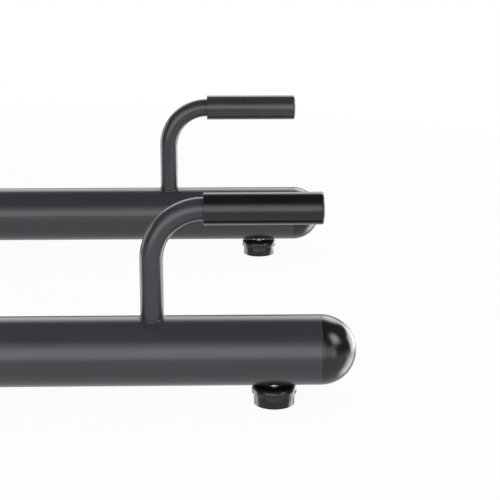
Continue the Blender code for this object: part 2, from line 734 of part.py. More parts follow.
def build_forearm_pads():
    for side, across in SIDES:
        place = along(Z, (FOREARM_BOARD_X, across * RAIL_Y, FOREARM_BOARD_BOTTOM))
        lengthwise = Matrix.Rotation(math.radians(90), 4, "Z")
        board = rounded_plate(
            f"forearm_board_{side}",
            FOREARM_BOARD_WIDTH,
            FOREARM_BOARD_LENGTH,
            FOREARM_BOARD_THICKNESS,
            FOREARM_BOARD_CORNER,
            place @ lengthwise,
        )
        for name, bolt_x, bolt_y in forearm_bolt_places():
            if name.endswith(side):
                start = (bolt_x, bolt_y, FOREARM_BOARD_BOTTOM - FOREARM_BOARD_THICKNESS)
                hole = bolt_hole(f"forearm_hole_{name}", PAD_BOLT[0], start, Z, 3 * FOREARM_BOARD_THICKNESS)
                boolean(board, hole, "DIFFERENCE")
        finish(board, PLYWOOD)
        top = FOREARM_BOARD_THICKNESS + SEAT_GAP
        cushion(
            f"forearm_pad_{side}",
            FOREARM_BOARD_WIDTH + 2 * CUSHION_OVERHANG,
            FOREARM_BOARD_LENGTH + 2 * CUSHION_OVERHANG,
            FOREARM_PAD_THICKNESS,
            2,
            1,
            place @ Matrix.Translation((0, 0, top)) @ lengthwise,
        )
    for name, bolt_x, bolt_y in forearm_bolt_places():
        below = DIP_HEIGHT - ARM_RADIUS - SEAT_GAP
        length = FOREARM_BOARD_BOTTOM + FOREARM_BOARD_THICKNESS - PAD_BOLT_COVER - below
        hex_bolt(f"forearm_bolt_{name}", PAD_BOLT, length, along(Z, (bolt_x, bolt_y, below)))


def build_pullup_bar():
    centre = pullup_centre()
    corner_y = RAIL_Y + PULLUP_STRAIGHT_BESIDE_UPRIGHT + PULLUP_BEND_RADIUS * math.tan(PULLUP_DROOP / 2)
    half = []
    for across in (1, -1):
        corner = centre + across * corner_y * Y
        droop = Vector((0, across * math.cos(PULLUP_DROOP), -math.sin(PULLUP_DROOP)))
        reach = PULLUP_BEND_RADIUS * math.tan(PULLUP_DROOP / 2) + PULLUP_END_LENGTH
        end = corner + reach * droop
        half.append([*bend(centre, end, corner, PULLUP_BEND_RADIUS, BEND_STEPS // 2), end])
    path = half[0][::-1] + half[1]
    finish(bent_tube("pullup_bar", path, PULLUP_RADIUS, PULLUP_WALL, TUBE_SIDES), PAINT)
    for (side, across), run in zip(SIDES, half):
        outward = (run[-1] - run[-2]).normalized()
        start = run[-1] + (GRIP_END_WALL + SEAT_GAP - PULLUP_GRIP_LENGTH) * outward
        sleeve_grip(
            f"pullup_grip_{side}",
            PULLUP_GRIP_RADIUS,
            PULLUP_RADIUS + SEAT_GAP,
            PULLUP_GRIP_LENGTH,
            True,
            along(outward, start),
            BLACK_RUBBER,
        )


build_rails()
build_pushup_handles()
build_feet()
build_base_cross_tube()
build_uprights()
build_crossmembers()
build_back_pad()
build_dip_arms()
build_arm_handles()
build_forearm_pads()
build_pullup_bar()
print(f"{len([obj for obj in PARTS.objects if obj.type == 'MESH'])} pieces")
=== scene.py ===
# %% [markdown]
# # A pull-up dip station, dressed
#
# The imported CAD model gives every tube, bolt and pad its size and place, as plain solids with few faces.
# This lesson lays a finer model over it, one piece at a time, and then builds the photograph's studio and
# camera. The frame is loaded first, and its size is kept, because the finished look has to keep to it.

# %% Load the frame
import json
import math

import bmesh
import bpy
from mathutils import Matrix, Vector

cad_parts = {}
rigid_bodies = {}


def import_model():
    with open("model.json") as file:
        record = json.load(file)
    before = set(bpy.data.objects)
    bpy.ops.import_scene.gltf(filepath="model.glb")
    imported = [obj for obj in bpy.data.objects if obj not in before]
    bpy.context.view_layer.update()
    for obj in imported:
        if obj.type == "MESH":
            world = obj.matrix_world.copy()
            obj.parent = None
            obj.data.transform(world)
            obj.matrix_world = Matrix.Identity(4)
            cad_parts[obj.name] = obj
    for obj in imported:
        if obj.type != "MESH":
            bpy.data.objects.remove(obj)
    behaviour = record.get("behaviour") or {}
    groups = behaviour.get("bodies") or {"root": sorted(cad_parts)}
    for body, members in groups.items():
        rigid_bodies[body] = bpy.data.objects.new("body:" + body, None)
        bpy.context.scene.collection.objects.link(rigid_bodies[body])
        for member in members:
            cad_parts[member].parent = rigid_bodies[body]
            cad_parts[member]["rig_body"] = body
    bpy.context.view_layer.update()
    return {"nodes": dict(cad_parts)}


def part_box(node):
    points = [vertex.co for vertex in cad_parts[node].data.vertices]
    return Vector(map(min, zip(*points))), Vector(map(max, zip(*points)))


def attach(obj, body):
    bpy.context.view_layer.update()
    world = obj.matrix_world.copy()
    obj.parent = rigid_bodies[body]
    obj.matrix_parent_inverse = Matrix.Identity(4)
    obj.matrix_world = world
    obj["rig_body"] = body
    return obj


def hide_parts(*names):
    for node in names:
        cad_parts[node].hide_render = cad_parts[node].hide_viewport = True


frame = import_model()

# %% [markdown]
# ## Sizes
#
# What the frame can say is read from it: a box gives a tube's radius, its axis and its ends. The rest is
# written once, in metres. +X is the front, +Y is the left side and the floor is at zero. The station's two
# halves mirror each other, so most pieces are modelled once and copied to the other side.

# %% Read the main sizes from the frame
def centre_of(node):
    """The middle of a CAD node's box."""
    low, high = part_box(node)
    return (low + high) / 2


def size_of(node):
    """How far a CAD node's box reaches along each axis."""
    low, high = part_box(node)
    return high - low


RAIL_RADIUS = size_of("base_rail_right").z / 2
RAIL_HEIGHT = centre_of("base_rail_right").z
RAIL_Y = -centre_of("base_rail_right").y
RAIL_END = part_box("base_rail_right")[1].x
GRIP_LOW, GRIP_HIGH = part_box("pushup_grip_right")
HANDLE_HEIGHT = centre_of("pushup_grip_right").z
FOOT_X = centre_of("foot_pad_front_right").x
UPRIGHT_X = centre_of("crossmember_lower").x
ARM_HEIGHT = centre_of("dip_arm_right").z
ARM_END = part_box("dip_arm_right")[1].x
SIDES = (("left", 1), ("right", -1))
ENDS = (("front", 1), ("rear", -1))
CORNERS = [(f"{end}_{side}", ahead, across) for end, ahead in ENDS for side, across in SIDES]
X = Vector((1, 0, 0))
Y = Vector((0, 1, 0))
Z = Vector((0, 0, 1))
print(f"rails: radius {RAIL_RADIUS:.4f}, axis {RAIL_HEIGHT:.3f} high and {RAIL_Y:.3f} from the middle")

# %% [markdown]
# ## Tools for modelling by hand
#
# Each piece is made with the operators that a modeller clicks: a primitive is added, opened in edit mode,
# pulled, spun or inset, and closed again. Everything is deselected first, because an operator acts on all
# that is selected.

# %% Open and close a piece
SAME_POINT = 0.00001
HAIR = 0.0001


def nothing_selected():
    bpy.ops.object.select_all(action="DESELECT")


def only(piece):
    """Makes one object the selected and active one."""
    nothing_selected()
    piece.select_set(True)
    bpy.context.view_layer.objects.active = piece


def opened(name):
    """Names the primitive just added, puts its place in its mesh and opens it, selected all over."""
    piece = bpy.context.object
    piece.name = piece.data.name = name
    bpy.ops.object.transform_apply(location=True, rotation=True, scale=True)
    bpy.ops.object.mode_set(mode="EDIT")
    bpy.ops.mesh.select_mode(type="VERT")
    bpy.ops.mesh.select_all(action="SELECT")
    return piece


def turn_faces_out():
    """Points all faces outwards and leaves edit mode."""
    bpy.ops.mesh.select_all(action="SELECT")
    bpy.ops.mesh.normals_make_consistent(inside=False)
    bpy.ops.object.mode_set(mode="OBJECT")


def closed(piece, smooth_degrees=35):
    """Fills the open ends, leaves edit mode and shades the round surfaces smooth."""
    bpy.ops.mesh.select_all(action="SELECT")
    bpy.ops.mesh.remove_doubles(threshold=SAME_POINT)
    bpy.ops.mesh.fill_holes(sides=0)
    turn_faces_out()
    bpy.ops.object.shade_smooth_by_angle(angle=math.radians(smooth_degrees))
    return piece


def changed(piece, title, kind, **settings):
    """Adds a modifier to a piece and applies it."""
    only(piece)
    step = piece.modifiers.new(title, kind)
    for key, value in settings.items():
        setattr(step, key, value)
    bpy.ops.object.modifier_apply(modifier=step.name)
    return piece


def soften(piece, width, segments=3, degrees=40):
    """Rounds every edge that is sharper than an angle."""
    limits = {"limit_method": "ANGLE", "angle_limit": math.radians(degrees)}
    changed(piece, "Soft edges", "BEVEL", width=width, segments=segments, **limits)
    bpy.ops.object.shade_smooth_by_angle(angle=math.radians(degrees))
    return piece


def pick(kind, test):
    """Selects the edges or faces whose middle passes a test."""
    bpy.ops.mesh.select_all(action="DESELECT")
    bpy.ops.mesh.select_mode(type=kind)
    shape = bmesh.from_edit_mesh(bpy.context.edit_object.data)
    for element in shape.edges if kind == "EDGE" else shape.faces:
        middle = sum((corner.co for corner in element.verts), Vector()) / len(element.verts)
        element.select_set(bool(test(middle)))
    bmesh.update_edit_mesh(bpy.context.edit_object.data)


# %% [markdown]
# A bent tube starts as a ring. Pulling extrudes the ring straight ahead, and turning spins it about the
# centre of a bend, as a tube bender does. The spin operator counts its angle the other way round, hence the
# minus sign.

# %% Tubes and cylinders
TUBE_SIDES = 64


def facing(direction):
    return Vector(direction).to_track_quat("Z", "Y").to_euler()


def ring(name, radius, centre, direction, sides=TUBE_SIDES):
    nothing_selected()
    bpy.ops.mesh.primitive_circle_add(
        vertices=sides, radius=radius, fill_type="NOTHING", location=centre, rotation=facing(direction)
    )
    return opened(name)


def pull(step):
    bpy.ops.mesh.extrude_region_move(TRANSFORM_OT_translate={"value": step})


def turn(centre, axis, degrees, steps):
    bpy.ops.mesh.spin(steps=steps, angle=-math.radians(degrees), center=centre, axis=axis)


def cylinder(sides, radius, low, high, place=(0, 0)):
    """Adds an upright cylinder between two heights."""
    bpy.ops.mesh.primitive_cylinder_add(
        vertices=sides, radius=radius, depth=high - low, location=(*place, (low + high) / 2)
    )


# %% [markdown]
# Caps, grips and feet are turned parts. A tiny plane is merged to one point, the point is extruded along
# half of the part's section, and the section is spun once round the Z axis. Points on the axis become the
# poles, which are merged when the piece is closed.

# %% Turned parts from a section
def point(name, radius, height):
    """A piece of one single point, open in edit mode."""
    nothing_selected()
    bpy.ops.mesh.primitive_plane_add(size=0.001, location=(0, 0, 0))
    piece = opened(name)
    bpy.ops.mesh.merge(type="CENTER")
    bpy.ops.transform.translate(value=(radius, 0, height))
    return piece


def turned(name, section, sides=TUBE_SIDES):
    """Turns a section of (radius, height) points, open or ending on the axis, about +Z."""
    piece = point(name, *section[0])
    for (radius, height), (next_radius, next_height) in zip(section, section[1:]):
        pull((next_radius - radius, 0, next_height - height))
    bpy.ops.mesh.select_all(action="SELECT")
    bpy.ops.mesh.spin(steps=sides, angle=math.tau, center=(0, 0, 0), axis=(0, 0, 1))
    return closed(piece)


def arc(centre, radius, start, stop, steps):
    """Points of a quarter or other arc in a section, from one angle in degrees to another."""
    angles = [math.radians(start + (stop - start) * step / steps) for step in range(steps + 1)]
    return [(centre[0] + radius * math.cos(angle), centre[1] + radius * math.sin(angle)) for angle in angles]


# %% [markdown]
# ## Shader arithmetic
#
# A finish is easier to read as arithmetic than as a web of nodes. `Wire` stands for one output of a node
# and adds a Math node for each operator. `Finish` starts a material and adds any other node.

# %% Wires and finishes
def operator(operation):
    """A method of Wire that adds a Math node."""
    return lambda self, other: self.maths(operation, other)


class Wire:
    """One output socket. Arithmetic on it adds Math nodes."""

    def __init__(self, tree, socket):
        self.tree = tree
        self.socket = socket

    def maths(self, operation, other=0.0):
        return add_node(self.tree, "Math", {0: self, 1: other}, operation=operation)

    def __rsub__(self, other):
        return add_node(self.tree, "Math", {0: other, 1: self}, operation="SUBTRACT")

    __add__ = __radd__ = operator("ADD")
    __mul__ = __rmul__ = operator("MULTIPLY")
    __truediv__ = operator("DIVIDE")
    larger = operator("MAXIMUM")
    smaller = operator("MINIMUM")

    def ramp(self, low, high):
        """From 0 where this wire is at one value to 1 where it is at another, and smooth between."""
        values = {0: self, 1: low, 2: high}
        return add_node(self.tree, "MapRange", values, interpolation_type="SMOOTHSTEP")


def add_node(tree, kind, sockets=(), output=0, **settings):
    """Adds a shader node with the values or wires of its sockets. Returns one of its outputs."""
    node = tree.nodes.new(f"ShaderNode{kind}")
    for key, value in settings.items():
        setattr(node, key, value)
    for key, value in dict(sockets).items():
        if isinstance(value, Wire):
            tree.links.new(value.socket, node.inputs[key])
        else:
            node.inputs[key].default_value = value
    return Wire(tree, node.outputs[output])


class Finish:
    """A material that starts with its shader and the place of each point on the object."""

    def __init__(self, name, values):
        self.material = bpy.data.materials.new(name)
        self.material.use_nodes = True
        self.tree = self.material.node_tree
        self.shader = self.tree.nodes["Principled BSDF"]
        self.place = self.add("TexCoord", output="Object")
        for key, value in values.items():
            self.shader.inputs[key].default_value = value

    def add(self, kind, sockets=(), output=0, **settings):
        return add_node(self.tree, kind, sockets, output, **settings)

    def noise(self, scale, detail=2.0, stretch=(1, 1, 1)):
        """Soft noise from about 0 to 1. The scale is in cells for each metre."""
        place = self.add("Mapping", {"Vector": self.place, "Scale": stretch})
        return self.add("TexNoise", {"Vector": place, "Scale": scale, "Detail": detail})

    def blend(self, amount, first, second):
        """Mixes two colours."""
        colours = {6: (*first, 1) if isinstance(first, tuple) else first}
        colours[7] = (*second, 1) if isinstance(second, tuple) else second
        return self.add("Mix", {0: amount, **colours}, output=2, data_type="RGBA")

    def part(self, vector, axis):
        """One coordinate of a vector."""
        return self.add("SeparateXYZ", {0: vector}, output="XYZ".index(axis))

    def feed(self, socket, wire):
        self.tree.links.new(wire.socket, self.shader.inputs[socket])

    def cover(self, colour, roughness, height, depth, strength):
        """Feeds the shader a colour, a roughness, and a height from 0 to 1 as a bump of a depth in metres."""
        self.feed("Base Color", colour)
        self.feed("Roughness", roughness)
        self.feed("Normal", self.add("Bump", {"Height": height, "Distance": depth, "Strength": strength}))
        return self.material


# %% [markdown]
# ## Slate powder coat
#
# The frame has a dark blue-grey coat with a semi-gloss skin. Up close a powder coat is a little uneven,
# like the skin of an orange, and its gloss drifts slowly along a tube. Both come from noise on the object's
# own place, so the pattern never slides. It is faint, because the photograph shows long clean reflections.

# %% Slate powder coat
SLATE = (0.0365, 0.0390, 0.0450)
SLATE_DARK = (0.0335, 0.0358, 0.0412)


def slate_coat():
    coat = Finish("slate powder coat", {"IOR": 1.5})
    drift = coat.noise(7.0, 3.0)
    skin = coat.noise(650.0)
    colour = coat.blend(drift.ramp(0.3, 0.7), SLATE_DARK, SLATE)
    return coat.cover(colour, 0.20 + 0.05 * drift + 0.02 * skin, skin, 0.00003, 0.5)


# %% [markdown]
# ## Moulded plastic and rubber
#
# The caps and the discs of the feet are glossy black mouldings, darker than the paint. The grips are smooth
# rubber sleeves, which scatter a little more and carry a fine talc-like grain. The far push-up grip is
# slate grey in the photograph and the near one is black. The pads of the feet are black rubber too.

# %% Plastic and rubber
PLASTIC_DARK = (0.0095, 0.0095, 0.010)
PLASTIC_LIGHT = (0.0115, 0.0115, 0.012)


def cap_plastic():
    plastic = Finish("glossy black plastic", {"IOR": 1.5})
    cloud = plastic.noise(25.0, 3.0)
    colour = plastic.blend(cloud, PLASTIC_DARK, PLASTIC_LIGHT)
    return plastic.cover(colour, 0.14 + 0.04 * cloud, plastic.noise(300.0), 0.00001, 0.4)


def rubber(name, dark, light, gloss, ior=1.5):
    skin = Finish(name, {"IOR": ior})
    cloud = skin.noise(18.0, 3.0)
    grain = skin.noise(1400.0)
    colour = skin.blend(cloud.ramp(0.25, 0.75), dark, light)
    return skin.cover(colour, gloss + 0.05 * cloud + 0.03 * grain, grain, 0.00004, 0.5)


# %% [markdown]
# ## Zinc plate
#
# Bolts, nuts and studs are zinc plated. Plating has cloudy spots, a hint of yellow and faint rings, which a
# noise squeezed along the part's length gives. The studs are of a light, satin grade, and the bolts of a
# darker and smoother one, so that their facets can be told apart.

# %% Zinc plate
def zinc_plate(name, dark, light, gloss):
    zinc = Finish(name, {"Metallic": 1.0})
    cloud = zinc.noise(120.0, 4.0)
    rings = zinc.noise(60.0, 2.0, (1, 1, 40))
    colour = zinc.blend(cloud.ramp(0.3, 0.7), dark, light)
    return zinc.cover(colour, gloss + 0.10 * cloud + 0.05 * rings, rings, 0.00001, 0.5)


# %% [markdown]
# ## Upholstery vinyl
#
# Gym pads are covered in black vinyl with an embossed leather grain. A Voronoi pattern gives the small
# rounded cells, with duller valleys between them that are also coloured darker than the cell tops, which is
# painted shade in the grain's recesses. A second, coarser pattern keeps the cells from being all alike.

# %% Upholstery vinyl
FINE_CELLS = 620.0
COARSE_CELLS = 210.0


def pad_vinyl():
    vinyl = Finish("black upholstery vinyl", {"IOR": 1.5})
    wander = vinyl.noise(90.0)
    bent = vinyl.add("VectorMath", {0: vinyl.place, 1: 0.004 * wander}, operation="ADD")
    fine, coarse = (
        vinyl.add("TexVoronoi", {"Vector": bent, "Scale": scale}, feature="DISTANCE_TO_EDGE")
        for scale in (FINE_CELLS, COARSE_CELLS)
    )
    hills = (fine * 3.0).smaller(1.0) * 0.7 + (coarse * 4.0).smaller(1.0) * 0.3
    # Painted shade: the colour follows the relief, darker in the valleys of the grain and lighter on the cell
    # tops.
    colour = vinyl.blend(hills, (0.010, 0.010, 0.0105), (0.020, 0.020, 0.021))
    return vinyl.cover(colour, 0.52 - 0.12 * hills + 0.06 * wander, hills, 0.00022, 0.7)


# %% [markdown]
# ## Plywood
#
# The boards behind the pads are birch plywood. Its face shows long grain, and its edge shows thin layers
# that are light and dark in turn. The same finish serves boards that lie and stand, so the axis through the
# thickness and the stretch along the grain are given.

# %% Plywood
PLY_THICKNESS = 0.0025


def plywood(name, through, stretch):
    wood = Finish(name, {"IOR": 1.45})
    figure = wood.noise(26.0, 5.0, stretch)
    fibre = wood.noise(420.0, 3.0, stretch)
    layer = wood.part(wood.place, through) / PLY_THICKNESS
    plies = layer.maths("PINGPONG", 1.0).ramp(0.35, 0.65)
    face = wood.blend(figure.ramp(0.3, 0.7), (0.50, 0.36, 0.22), (0.62, 0.47, 0.30))
    edge = wood.blend(plies, (0.30, 0.19, 0.10), (0.56, 0.42, 0.26))
    facing_out = wood.part(wood.add("TexCoord", output="Normal"), through)
    flat = (facing_out * facing_out).ramp(0.4, 0.7)
    return wood.cover(wood.blend(flat, edge, face), 0.55 + 0.15 * fibre, fibre, 0.0001, 0.4)


# %% Make the finishes, one for each slot of the record
FINISHES = {
    "frame_paint": slate_coat(),
    "cap_plastic": cap_plastic(),
    "foot_plastic": cap_plastic(),
    "grip_rubber": rubber("black grip rubber", (0.0050, 0.0050, 0.0050), (0.0064, 0.0064, 0.0062), 0.15),
    "grip_grey": rubber("slate grip rubber", (0.029, 0.0305, 0.034), (0.033, 0.0345, 0.038), 0.16),
    "foot_rubber": rubber("sole rubber", (0.004, 0.004, 0.004), (0.006, 0.006, 0.006), 0.15, 1.46),
    "zinc_steel": zinc_plate("light zinc plate", (0.44, 0.45, 0.47), (0.54, 0.53, 0.49), 0.45),
    "pad_vinyl": pad_vinyl(),
}
BOLT_ZINC = zinc_plate("dark zinc plate", (0.22, 0.225, 0.235), (0.29, 0.285, 0.265), 0.34)
STANDING_PLY = plywood("standing plywood", "X", (1, 1, 0.12))
LYING_PLY = plywood("lying plywood", "Z", (0.12, 1, 1))
print(f"{len(FINISHES) + 3} finishes")

# %% [markdown]
# ## Putting a piece in its place
#
# A finished piece rides on the body of the CAD node that it stands for, takes its finish from that node's
# slot, and hides the node. Repeated pieces are modelled once at the origin and then copied, each copy with
# its own mesh in its place. A mirrored copy is inside out until its faces are turned again.

# %% Stand in for CAD nodes
def dress(piece, node, slot, material=None, hides=True):
    """Lets a piece ride with a node's body, in a slot's finish or its own, and hides the node."""
    piece.data.materials.clear()
    piece.data.materials.append(material or FINISHES[slot])
    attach(piece, frame["nodes"][node]["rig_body"])
    if hides:
        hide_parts(node)
    return piece


def moved(piece, place):
    """Puts a matrix into the mesh of a piece. A mirrored piece gets its faces turned out again."""
    only(piece)
    piece.matrix_world = place
    bpy.ops.object.transform_apply(location=True, rotation=True, scale=True)
    if place.determinant() < 0:
        bpy.ops.object.mode_set(mode="EDIT")
        turn_faces_out()
    return piece


def copied(model, name, place):
    """A copy of a model with its own mesh, at a place."""
    only(model)
    bpy.ops.object.duplicate()
    piece = bpy.context.object
    piece.name = piece.data.name = name
    return moved(piece, place)


def along(direction, origin=(0, 0, 0)):
    """The matrix that puts a model's own +Z on a direction and its origin on a point."""
    return Matrix.Translation(origin) @ Vector(direction).to_track_quat("Z", "Y").to_matrix().to_4x4()


def stand_in(model, node, place, slot, material=None):
    """Dresses a copy of a model, at a place, as a node."""
    dress(copied(model, f"{node}_model", place), node, slot, material)


def discard(*models):
    """Removes models that have been copied to their places."""
    for model in models:
        bpy.data.objects.remove(model, do_unlink=True)


def on_both_sides(model, stem, slot, **more):
    """Dresses a piece modelled on the right as the right node, and a mirrored copy of it as the left one."""
    left = copied(model, f"{stem}_left_model", Matrix.Scale(-1, 4, Y))
    model.name = model.data.name = f"{stem}_right_model"
    dress(left, f"{stem}_left", slot, **more)
    return dress(model, f"{stem}_right", slot, **more), left


# %% [markdown]
# ## Base rails
#
# A rail is a 76 mm round tube. It starts as a ring that is pulled once along its length, with a fine
# chamfer at each end, where the cap leaves a hairline seam. Two bores in its underside let the foot studs
# in. A Boolean cuts them, which is the safe way to put a round hole in a curved wall.

# %% Base rails
SEAM = 0.0002
STUD_BORE = 0.0066


def base_rail():
    start = Vector((-RAIL_END, -RAIL_Y, RAIL_HEIGHT))
    rail = ring("base_rail_right_model", RAIL_RADIUS, start, X, 128)
    pull(2 * RAIL_END * X)
    closed(rail)
    soften(rail, SEAM, 2)
    for foot_x in (FOOT_X, -FOOT_X):
        nothing_selected()
        low, high = RAIL_HEIGHT - 1.5 * RAIL_RADIUS, RAIL_HEIGHT - RAIL_RADIUS / 2
        cylinder(48, STUD_BORE, low, high, (foot_x, -RAIL_Y))
        drill = bpy.context.object
        changed(rail, "Bore", "BOOLEAN", object=drill, solver="EXACT")
        discard(drill)
    bpy.ops.object.shade_smooth_by_angle(angle=math.radians(35))
    return rail


on_both_sides(base_rail(), "base_rail", "frame_paint")
print("rails made, 128 sides each")

# %% [markdown]
# ## Domed caps
#
# Each rail ends in a hemispherical plug, flush with the tube. The section is a quarter circle, a fine
# chamfer at the seam and the spigot that enters the tube. The uprights have the same caps in another size.

# %% Domed caps
DOME_STEPS = 28
CAP_SPIGOT = 0.025
CAP_SPIGOT_IN = 0.0035


def domed_cap(name, radius):
    section = [(0, radius)] + arc((0, 0), radius, 90, 0, DOME_STEPS)[1:-1]
    section += [(radius, SEAM), (radius, 0), (radius - SEAM, -SEAM), (radius - CAP_SPIGOT_IN, -SEAM)]
    section += [(radius - CAP_SPIGOT_IN, -CAP_SPIGOT), (0, -CAP_SPIGOT)]
    return turned(name, section, 128)


cap = domed_cap("rail_cap", RAIL_RADIUS)
foot_of_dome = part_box("rail_cap_front_right")[1].x - RAIL_RADIUS
for corner, ahead, across in CORNERS:
    place = along(ahead * X, (ahead * foot_of_dome, across * RAIL_Y, RAIL_HEIGHT))
    stand_in(cap, f"rail_cap_{corner}", place, "cap_plastic")
discard(cap)
print("4 rail caps")

# %% [markdown]
# ## Weld beads
#
# Most tubes of the frame are welded to the next one. A bead is a torus round the joint, pushed along the
# tube until it lies on the curve where the two tubes meet. Its thickness swells and shrinks a little all
# the way round, as the overlapping pools of a hand-laid bead do, and the powder coat covers it.

# %% Weld beads
POOL_SPACING = 0.0035
POOL_DEPTH = 0.10
HANDLE_BEAD = 0.0017
MEMBER_BEAD = 0.0028
BASE_BEAD = 0.0035
ARM_BEAD = 0.0030
BAR_BEAD = 0.0026


def weld_bead(name, start, direction, radius, main_axis, main_radius, width, node):
    """A bead where a tube that leaves a point of a main tube's axis comes out of that tube's wall."""
    direction, main_axis = Vector(direction).normalized(), Vector(main_axis).normalized()
    side_axis = direction.cross(main_axis)
    nothing_selected()
    sizes = {"major_radius": radius, "minor_radius": width, "major_segments": 96, "minor_segments": 12}
    bpy.ops.mesh.primitive_torus_add(rotation=facing(direction), **sizes)
    bead = opened(name)
    pools = round(math.tau * radius / POOL_SPACING)
    shape = bmesh.from_edit_mesh(bead.data)
    for vert in shape.verts:
        rise = vert.co.dot(direction)
        outward = (vert.co - rise * direction).normalized()
        angle = math.atan2(outward.dot(side_axis), outward.dot(main_axis))
        swell = 1 - POOL_DEPTH * abs(math.sin(pools * angle / 2))
        core = radius * outward
        aside = core.dot(side_axis)
        on_wall = math.sqrt(max(main_radius**2 - aside**2, 0))
        vert.co = Vector(start) + core + on_wall * direction + swell * (vert.co - core)
    bmesh.update_edit_mesh(bead.data)
    return dress(closed(bead, 60), node, "frame_paint", hides=False)


def weld_both(stem, node, x, height, *tubes):
    """The same bead on the left and on the right of the station."""
    for side, across in SIDES:
        weld_bead(f"{stem}_{side}", (x, across * RAIL_Y, height), *tubes, f"{node}_{side}")


# %% [markdown]
# ## Push-up handles
#
# A 25 mm tube stands on each rail near the front and bends forward. The ring starts inside the rail, is
# pulled up, spun a quarter turn and pulled on into the grip. The bead at its foot is the small flare that
# the photograph shows.

# %% Push-up handles
HANDLE_RADIUS = 0.0125
HANDLE_BEND = 0.0555
GRIP_AFTER_BEND = 0.0002
GRIP_WALL = 0.0043
GRIP_FIT = 0.0003
STEM_X = GRIP_LOW.x - HANDLE_BEND - GRIP_AFTER_BEND


def pushup_handle():
    in_rail_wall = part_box("pushup_handle_right")[0].z
    bend_start = HANDLE_HEIGHT - HANDLE_BEND
    tube = ring("pushup_handle_right_model", HANDLE_RADIUS, (STEM_X, -RAIL_Y, in_rail_wall), Z)
    pull((bend_start - in_rail_wall) * Z)
    turn((STEM_X + HANDLE_BEND, -RAIL_Y, bend_start), Y, 90, 32)
    pull((GRIP_HIGH.x - GRIP_WALL - STEM_X - HANDLE_BEND) * X)
    return closed(tube)


on_both_sides(pushup_handle(), "pushup_handle", "frame_paint")
weld_both("handle_weld", "pushup_handle", STEM_X, RAIL_HEIGHT, Z, HANDLE_RADIUS, X, RAIL_RADIUS, HANDLE_BEAD)
print("handles, with a weld bead each")

# %% [markdown]
# ## Sleeve grips
#
# The push-up grips are plain sleeves with a slightly crowned closed end. The section runs from the middle
# of that end, round the outside, and into the open end's short bore. An extra ring beside each rounding
# keeps its soft shading off the long straight side.

# %% Sleeve grips
END_EDGE = 0.0020
END_CROWN = 0.0015
CROWN_RINGS = 6
LIP = 0.0003


def plain_grip(name, radius, length, bore):
    corner = arc((radius - END_EDGE, length - END_EDGE), END_EDGE, 80, 0, 5)
    rim_radius, rim_height = corner[0]
    top = length + END_CROWN
    shares = [number / CROWN_RINGS for number in range(CROWN_RINGS)]
    section = [(share * rim_radius, top - share**2 * (top - rim_height)) for share in shares] + corner
    section += [(radius, length - 2 * END_EDGE), (radius, 4 * LIP)]
    section += arc((radius - LIP, LIP), LIP, 0, -90, 3)
    section += [(bore, 0), (bore, GRIP_WALL), (0, GRIP_WALL)]
    return turned(name, section, 96)


grip_size = size_of("pushup_grip_right")
grip = plain_grip("pushup_grip", grip_size.z / 2, grip_size.x, HANDLE_RADIUS + GRIP_FIT)
for side, across in SIDES:
    place = along(X, (GRIP_LOW.x, across * RAIL_Y, HANDLE_HEIGHT))
    stand_in(grip, f"pushup_grip_{side}", place, "grip_grey" if side == "left" else "grip_rubber")
discard(grip)
print("push-up grips: one slate, one black")

# %% [markdown]
# ## Levelling feet
#
# A foot is three parts. The pad stands still on the floor. The stud is an M12 screw that turns in the pad,
# and the thick disc on it is turned with the fingers. The disc's upper edge is well rounded and shows the
# front light as a crescent, and a small recess lies round the stud. The pad has a straight side, crisp
# edges, a shallow groove under it and a pocket for the foot of the stud.

# %% Foot pad and disc
PAD_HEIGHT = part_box("foot_pad_front_right")[1].z
PAD_RADIUS = size_of("foot_pad_front_right").y / 2
PAD_EDGE = 0.0003
PAD_TOP_EDGE = 0.0005
SOLE_GROOVE = ((0, 0), (0.0006, 0.0006), (0.0016, 0.0006), (0.0022, 0))
POCKET_RADIUS = 0.0093
POCKET_FLOOR = 0.0040
DISC_LOW, DISC_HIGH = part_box("foot_disc_front_right")
DISC_RADIUS = size_of("foot_disc_front_right").y / 2
DISC_ROUND = 0.0042
DISC_EASE = 0.0006
RECESS_DEPTH = 0.0006
RECESS_RIM = 0.0030
RECESS_FLOOR = 0.0022
STUD_RADIUS = 0.006


def foot_pad():
    section = [(0, 0)] + [(PAD_RADIUS / 3 + outward, up) for outward, up in SOLE_GROOVE]
    section += arc((PAD_RADIUS - PAD_EDGE, PAD_EDGE), PAD_EDGE, -90, 0, 5)
    section += arc((PAD_RADIUS - PAD_TOP_EDGE, PAD_HEIGHT - PAD_TOP_EDGE), PAD_TOP_EDGE, 0, 90, 3)
    section += [(POCKET_RADIUS, PAD_HEIGHT), (POCKET_RADIUS, POCKET_FLOOR), (0, POCKET_FLOOR)]
    return turned("foot_pad", section, 96)


def foot_disc():
    section = [(STUD_RADIUS, DISC_LOW.z)]
    section += arc((DISC_RADIUS - DISC_EASE, DISC_LOW.z + DISC_EASE), DISC_EASE, -90, 0, 4)
    section += arc((DISC_RADIUS - DISC_ROUND, DISC_HIGH.z - DISC_ROUND), DISC_ROUND, 0, 90, 12)
    recess = DISC_HIGH.z - RECESS_DEPTH
    section += [(STUD_RADIUS + RECESS_RIM, DISC_HIGH.z), (STUD_RADIUS + RECESS_FLOOR, recess)]
    section += [(STUD_RADIUS, recess), section[0]]
    return turned("foot_disc", section, 96)


# %% [markdown]
# The stud has a real thread. One tooth of it is drawn as a short zigzag, and the Screw modifier winds it
# upwards, one pitch for each turn. Just above the disc the stud has a plain neck, which tapers a little.
# The CAD joints turn the whole screw once for each pitch that it moves.

